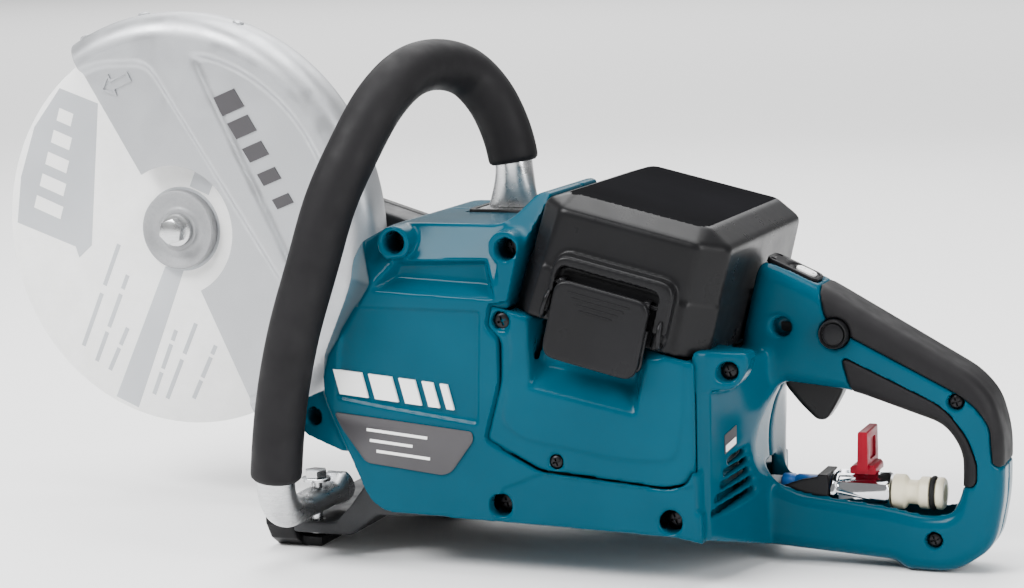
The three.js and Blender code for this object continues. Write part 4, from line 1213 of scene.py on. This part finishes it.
def wheel_guard():
    """The pressed sheet guard as one turned skin from -65 to 121 degrees, with its arrow and studs."""
    face = [38.0 + 72.5 * i / (GUARD_STEPS - 1) for i in range(GUARD_STEPS)]
    profile = [(r, 27, True) for r in face] + [(r, y, False) for r, y in GUARD_RIM + GUARD_INNER]
    profile += [(r, 28.8, True) for r in reversed(face)]
    count = len(profile)
    points, faces = [], []
    for i in range(GUARD_TURNS):
        angle = -65 + 186 * i / (GUARD_TURNS - 1)
        for radius, y, pressed in profile:
            spot = around(angle, radius, y)
            if pressed:
                spot.y += guard_sink(spot.x, spot.z)
            points.append(spot)
    for i in range(GUARD_TURNS - 1):
        for k in range(count):
            n = (k + 1) % count
            faces.append((i * count + k, i * count + n, (i + 1) * count + n, (i + 1) * count + k))
    for ring in (0, GUARD_TURNS - 1):
        for k in range(GUARD_STEPS - 1):
            faces.append(tuple(ring * count + n for n in (k, k + 1, count - 2 - k, count - 1 - k)))
        rest = list(range(GUARD_STEPS - 1, count - GUARD_STEPS + 1))
        outer, inner = rest[:len(GUARD_RIM) + 1], rest[len(GUARD_RIM) + 1:][::-1]
        faces += guard_end(ring * count, outer, inner)
    guard = solid(points, faces)
    show(guard, "wheel_guard")
    mark = prism(ARROW, 28.9, 30.4, radius=0.8)
    carve(mark, [prism(inset(ARROW, 1.1), 20, 40)])
    show(mark, slot="silver", body="guard", name="guard_arrow")
    for i, angle in enumerate((118, 99, 71)):
        place = at(around(angle, 126, 42.5), around(angle, 1, 0) - around(angle, 0, 0))
        stud = turned([(0, -1), (3.4, -1), (3.4, 0.5), (2.6, 1.3), (1, 1.6), (0, 1.6)], ORIGIN, "Z", 32)
        stud.data.transform(place)
        show(stud, slot="silver", body="guard", name=f"guard_stud_{i + 1}")


def guard_end(start, outer, inner):
    """Closes the bent sheet's end between its outer and inner runs."""
    faces = []
    a = b = 0
    last_a, last_b = len(outer) - 1, len(inner) - 1
    while a < last_a or b < last_b:
        if b == last_b or (a < last_a and a / last_a <= b / last_b):
            faces.append((start + outer[a], start + outer[a + 1], start + inner[b]))
            a += 1
        else:
            faces.append((start + outer[a], start + inner[b + 1], start + inner[b]))
            b += 1
    return faces


def marks(name, outlines, low_y, high_y, slot, body):
    """Flat printed shapes on a face square to Y, as one thin piece."""
    points, faces = [], []
    for outline in outlines:
        start, count = len(points), len(outline)
        points += [(x, y, z) for y in (low_y, high_y) for x, z in outline]
        faces.append(tuple(range(start, start + count)))
        faces.append(tuple(range(start + count, start + 2 * count)))
        for i in range(count):
            near, far = start + i, start + (i + 1) % count
            faces.append((near, far, far + count, near + count))
    show(solid(points, faces), slot=slot, body=body, name=name)


def dash(start, end, thick):
    """A slanting bar with square ends, as an outline."""
    start, end = Vector(start), Vector(end)
    along = (end - start).normalized()
    across = Vector((-along.y, along.x)) * thick / 2
    return [tuple(start - across), tuple(end - across), tuple(end + across), tuple(start + across)]


def print_rows():
    """Plain bars where a real wheel carries its data."""
    rows = (
        ((-257, 89.4), (-229.7, 150.9)), ((-248.5, 80.4), (-224.8, 132.7)),
        ((-239.8, 75.4), (-226.5, 101.1)), ((-210.8, 62), (-194.2, 100.8)),
        ((-202.1, 59.7), (-180.9, 105.2)), ((-184.5, 60.5), (-168.5, 92.5)),
    )
    bars = []
    for row, (start, end) in enumerate(rows):
        start, end = Vector(start), Vector(end)
        breaks = ((0, 0.34), (0.4, 0.78), (0.84, 1)) if row % 2 else ((0, 0.52), (0.6, 1))
        bars += [dash(start.lerp(end, a), start.lerp(end, b), 2.6) for a, b in breaks]
    return bars


def cutting_wheel():
    """The thin disc with plain printed shapes on its outer face."""
    disc = turned([
        (11.1, 41), (20, 41), (60, 41), (114.6, 41), (115, 41.3), (115, 42.7), (114.6, 43), (11.1, 43),
    ], HUB, segments=240)
    show(disc, "cutting_wheel")
    ring = turned([(11.2, 40.8), (24.6, 40.8), (24.6, 41.02), (11.2, 41.02)], HUB, segments=120)
    show(ring, slot="hose", body="wheel", name="wheel_print_ring")
    block = [
        (-264.5, 243), (-239.3, 234), (-248.1, 150), (-256.9, 142.4), (-259, 149), (-298, 162.7),
        (-294, 190), (-283, 220),
    ]
    low_band = [(-186.4, 138.9), (-199.5, 138.5), (-236.2, 59.6), (-221.6, 53.5)]
    high_band = [(-181, 186), (-169, 181), (-152, 216), (-165, 222)]
    marks("wheel_print", [block, low_band, high_band, *print_rows()], 40.86, 41.02, "hose", "wheel")
    pale = []
    for i, reach in enumerate((19, 17, 15, 13, 10)):
        a = Vector((-286 + i * 4.6, 172 + i * 13))
        along, across = Vector((0.93, -0.36)) * reach, Vector((2.4, 7.4))
        pale.append([tuple(v) for v in (a, a + along, a + along + across, a + across)])
    marks("wheel_mark", pale, 40.74, 40.9, "white", "wheel")


def flanges():
    """What clamps the wheel: both flanges, the bolt, and the clamp that holds the guard."""
    outer = turned([
        (4.6, 35.2), (11.6, 35.2), (12.4, 36.4), (14, 36.9), (17.6, 36.2), (20.6, 34.7), (22.2, 34.4),
        (22.9, 35), (23, 36), (23, 40.7), (4.6, 40.7),
    ], HUB, segments=120)
    show(outer, "outer_flange")
    inner = turned([
        (8, 41.2), (10.8, 41.2), (10.8, 43.3), (23, 43.3), (23, 49.4), (22.6, 49.8), (8, 49.8),
    ], HUB, segments=96)
    show(inner, "inner_flange")
    head = prism(hexagon(7.5, (HUB.x, HUB.z), 0.3), 25.3, 33)
    common(head, turned([(0, 25.3), (6.2, 25.3), (8.2, 26.6), (8.2, 34), (0, 34)], HUB, segments=96))
    collar = [(0, 32), (7.6, 32), (9.2, 32.5), (9.6, 33.4), (9.6, 34.6), (0, 34.6)]
    join(head, turned(collar, HUB, segments=96), rod(HUB, 4, 33, 60))
    show(head, "wheel_bolt")
    clamp = turned([
        (23.4, 50.2), (30.6, 50.2), (30.6, 52.3), (35.4, 52.3), (36, 52.9), (36, 56.4), (35.4, 57),
        (23.4, 57),
    ], HUB, segments=120)
    show(clamp, "guard_clamp")


# ---------- arm and belt cover

AWAY = MOTOR - HUB


def belt_outline(wheel_end, motor_end, steps=40):
    """The outline of a belt round the wheel's and the motor's axes."""
    lean = math.atan2(AWAY.z, AWAY.x)
    spread = math.acos((wheel_end - motor_end) / AWAY.length)
    loop = []
    for i in range(steps + 1):
        turn = lean + spread + (math.tau - 2 * spread) * i / steps
        loop.append((HUB.x + wheel_end * math.cos(turn), HUB.z + wheel_end * math.sin(turn)))
    for i in range(steps + 1):
        turn = lean - spread + 2 * spread * i / steps
        loop.append((MOTOR.x + motor_end * math.cos(turn), MOTOR.z + motor_end * math.sin(turn)))
    return loop


def rim_spots():
    """Six screw places round the belt cover."""
    away = AWAY.normalized()
    up = Vector((-away.z, 0, away.x))
    spots = [HUB + step * 31 for step in (-away, up, -up)]
    spots += [MOTOR + step * 27 for step in (away, up, -up)]
    return [(spot.x, spot.z) for spot in spots]


def drive_arm():
    """The cast arm from the motor to the wheel, and the belt cover screwed to it."""
    arm = prism(belt_outline(40, 35), 80, 104)
    bevelled(arm, 1.6, 3, 50)
    carve(arm, [prism(belt_outline(36.5, 31.5), 84, 120)])
    join(arm, rod(HUB, 23, 52.5, 81, segments=96), rod(MOTOR, 35, 58.3, 81, segments=96))
    turn = Matrix.Translation(HUB) @ Matrix.Rotation(-math.atan2(AWAY.z, AWAY.x), 4, "Y")
    ribs = [box(20, AWAY.length - 30, 70, 81, z - 1.6, z + 1.6, turn) for z in (-26, 0, 26)]
    join(arm, *ribs)
    carve(arm, [
        rod(HUB, 11, 40, 100),
        rod(HUB, 16.3, 54.7, 100, segments=72),
        rod(MOTOR, 11, 40, 100),
        rod(MOTOR, 16.3, 40, 74, segments=72),
    ])
    moulded(arm, 1.1, 3)
    show(arm, "arm_housing")
    cover = prism(belt_outline(40, 35), 104.3, 113.6)
    bevelled(cover, 2.4, 4, 50)
    plain = belt_outline(33, 28)
    carve(cover, [
        prism(belt_outline(36.5, 31.5), 100, 110.5),
        carve(prism(plain, 112.6, 120), [prism(inset(plain, 3.2), 110, 125)]),
        *(rod((x, 0, z), 4.4, 112.2, 120) for x, z in rim_spots()),
    ])
    slats = [box(52 + i * 15, 59 + i * 15, 112.9, 114.2, -13, 13, turn) for i in range(6)]
    join(cover, *slats)
    moulded(cover, 1.0, 3)
    show(cover, "belt_cover")
    screws("belt_cover_screw", [(x, 113.2, z, 3.4) for x, z in rim_spots()], (0, 1, 0), 2)


# ---------- base, skid and nozzle


def recast(node, voxel, rounds):
    """The CAD solid as a casting, with every edge softened."""
    piece = placed(frame["nodes"][node].data.copy())
    moulded(piece, voxel, rounds)
    show(piece, node)


def base():
    """The foot under the body, the skid plate and the water nozzle."""
    recast("base_bracket", 0.9, 7)
    recast("skid_plate", 0.7, 4)
    recast("water_nozzle", 0.7, 3)
    screws("base_screw", [(10, y, 23.6, 4.4) for y in (-40, 38)], (0, 0, -1), 2)


# ---------- water valve

HOSE_PATH = [
    (183.6, 0, 39), (174, 0, 39), (164, 3, 39), (156, 12, 38.6), (146, 32, 38), (134, 52, 38),
    (118, 66, 38.5), (90, 70, 39.5), (54, 70, 40), (40, 70, 42), (20, 70, 49), (-20, 70, 62),
    (-60, 70, 74), (-100, 70, 86), (-124, 68, 92), (-146, 64, 96), (-156, 63, 97), (-164.2, 63, 97),
]


def water():
    """The tap in the rear handle, its plug and coupling, and the hose to the nozzle."""
    body = prism(hexagon(10.2, (0, 38), math.pi / 6), 211, 242, "YZ")
    ends = [(0, 211), (8.6, 211), (10.4, 213), (10.4, 240), (8.8, 242), (0, 242)]
    common(body, turned(ends, WATER_AXIS, "X", 96))
    groove = turned([(8.9, 214.6), (12, 214.6), (12, 215.6), (8.9, 215.6)], WATER_AXIS, "X", 96)
    carve(body, [groove])
    join(body, rod(VALVE_STEM, 3, 38, 50.5, "Z"))
    show(crisp(body, 0.25), "valve_body")
    lever = prism([
        (221.8, 47.9), (235.2, 47.9), (235.2, 51), (233.4, 53), (232, 70.5), (225.6, 70.5), (225.6, 53),
        (221.8, 51.4),
    ], -9, 9, radius=1)
    sides = [(-12, 74), (-12, 49), (-9.2, 46), (9.2, 46), (12, 49), (12, 74)]
    window = [(-6.6, 55), (6.6, 55), (6.6, 66), (-6.6, 66)]
    grip = prism([(226.2, 50), (231.8, 50), (231.4, 70.5), (226.6, 70.5)], -12, 12, radius=1)
    carve(lever, [box(220, 240, -20, 20, 52.6, 90)])
    common(grip, prism(sides, 200, 260, "YZ"))
    join(lever, grip)
    carve(lever, [
        rod(VALVE_STEM, 3.4, 40, 52, "Z"),
        rod(VALVE_STEM, 2.2, 50, 52.7, "Z"),
        prism(window, 220, 227.3, "YZ", 2),
        prism(window, 230.5, 240, "YZ", 2),
    ])
    bevelled(lever, 0.5, 3, 40)
    show(lever, "valve_lever")
    plug = turned([
        (4, 243), (8.4, 243), (9, 243.6), (9, 248.4), (8.4, 249.4), (6.6, 250.6), (6.3, 251.4),
        (6.3, 255.4), (6.9, 256.4), (8, 257), (8.3, 257.6), (8.3, 261.7), (8, 262), (6.9, 262),
        (6.9, 265.6), (8, 265.6), (8.3, 266), (8.3, 268.4), (7.4, 269.5), (5, 269.5), (4.2, 268.6),
        (4, 267),
    ], WATER_AXIS, "X", 96)
    show(plug, "hose_plug")
    turns = [i * math.tau / 14 for i in range(14)]
    oval = [(8.05 + 0.95 * math.cos(turn), 263.8 + 1.35 * math.sin(turn)) for turn in turns]
    ring = turned(oval, WATER_AXIS, "X", 96)
    show(ring, "hose_plug_ring")
    coupling = turned([
        (4.1, 184), (4.9, 184), (5.4, 184.6), (5.4, 190), (4.9, 190.6), (4.9, 191.6), (5.4, 192.2),
        (5.4, 203), (4.9, 203.6), (4.9, 204.4), (5.4, 205), (5.4, 210), (5, 210.6), (4.1, 210.6),
        (2.6, 205), (2.6, 188),
    ], HOSE_AXIS, "X")
    show(coupling, "hose_coupling")
    outline = [(181, 38), (197, 44), (210, 46.5), (210, 30), (190, 30), (181, 34.5)]
    bracket = prism(outline, -11, -8.8, radius=1.5)
    collar = box(205, 210.4, -11, 11, 28, 47)
    carve(collar, [rod(HOSE_AXIS, 5.8, 200, 215, "X", 64)])
    join(bracket, collar)
    moulded(bracket, 0.6, 3)
    show(bracket, "valve_bracket")
    show(swept(HOSE_PATH, 4, 260, 28), "water_hose")


# ---------- plates, marks and screws


def slanted(start, widths, gap, height, lean, fall):
    """A row of plain leaning bars that get narrower."""
    outlines, x = [], start[0]
    for width in widths:
        z = start[1] - (x - start[0]) * fall
        foot, top = Vector((x, z)), Vector((x + lean, z + height))
        step = Vector((width, -width * fall))
        outlines.append([tuple(v) for v in (foot, foot + step, top + step, top)])
        x += width + gap
    return outlines


def plates():
    """The blank nameplate, the printed bars on body and guard, and the sticker on the flank."""
    outline = [(-34.5, 83), (43, 76), (43.5, 71.5), (31, 54.5), (26, 52.5), (-17, 57), (-30.5, 75)]
    plate = prism(outline, -84.9, -84.3, radius=3)
    show(crisp(plate, 0.2), "nameplate")
    lines = []
    for row, (start, reach) in enumerate(((0, 34), (0, 24), (2, 30))):
        a = Vector((-16 + start + row * 1.6, 74.6 - row * 5.6))
        lines.append(dash(a, a + Vector((reach, -reach * 0.088)), 1.5))
    marks("nameplate_lines", lines, -85.05, -84.85, "white", "saw")
    stripes = slanted((-31, 92.6), (16, 13, 9, 6, 4), 4, 13, -3.5, 0.09)
    marks("side_stripes", stripes, -84.25, -82.5, "white", "saw")
    bars = []
    down = Vector((0.52, -0.85))
    for i in range(5):
        a = Vector((-158, 238)) + down * i * 17
        across, along = Vector((0.93, 0.37)) * (15 - i), down * (12 - i * 1.4)
        bars.append([tuple(v) for v in (a, a + across, a + across + along, a + along)])
    marks("guard_marks", bars, 29.4, 30.2, "label", "guard")
    flank_out = (FLANK_ALONG.y, -FLANK_ALONG.x, 0)
    flank = axes_at((166, -72, 0), FLANK_ALONG, (0, 0, 1), flank_out)
    sticker = prism([(13, 65.6), (24, 69), (24, 79), (13, 75.4)], 0.1, 0.35, "XY", 0.6, flank)
    show(sticker, slot="label", body="saw", name="sticker")
    patch = prism([(13.8, 66.6), (23.2, 69.5), (23.2, 73), (13.8, 70)], 0.3, 0.5, "XY", 0.3, flank)
    show(patch, slot="white", body="saw", name="sticker_patch")


BODY_SCREWS = [
    (59.6, -81.2, 133.6, 4.3), (87.5, -82, 62.1, 3.4), (57, -74, 38, 4.6), (148, -74, 34.5, 4.6),
    (1, -68, 172.5, 4.6), (63, -72, 170.5, 4.4), (174.6, -65.5, 109.6, 4.3),
]


housing(-1)
housing(1)
battery_case()
battery_cover()
latch()
handle_grips()
trigger_set()
power_set()
front_handle()
wheel_guard()
cutting_wheel()
flanges()
drive_arm()
base()
water()
plates()
screws("body_screw", BODY_SCREWS, (0, -1, 0), 3)

# ---------- the rest of the CAD nodes


def soften(obj):
    """Rounds the sharp edges of a CAD node without touching its own vertices."""
    clean = obj.modifiers.new("clean", "DECIMATE")
    clean.decimate_type = "DISSOLVE"
    clean.angle_limit = math.radians(1)
    bevel_edges(obj, 0.5, 2, 28).harden_normals = True
    for polygon in obj.data.polygons:
        polygon.use_smooth = True


for node, obj in frame["nodes"].items():
    dress(obj, SLOTS[node])
    soften(obj)
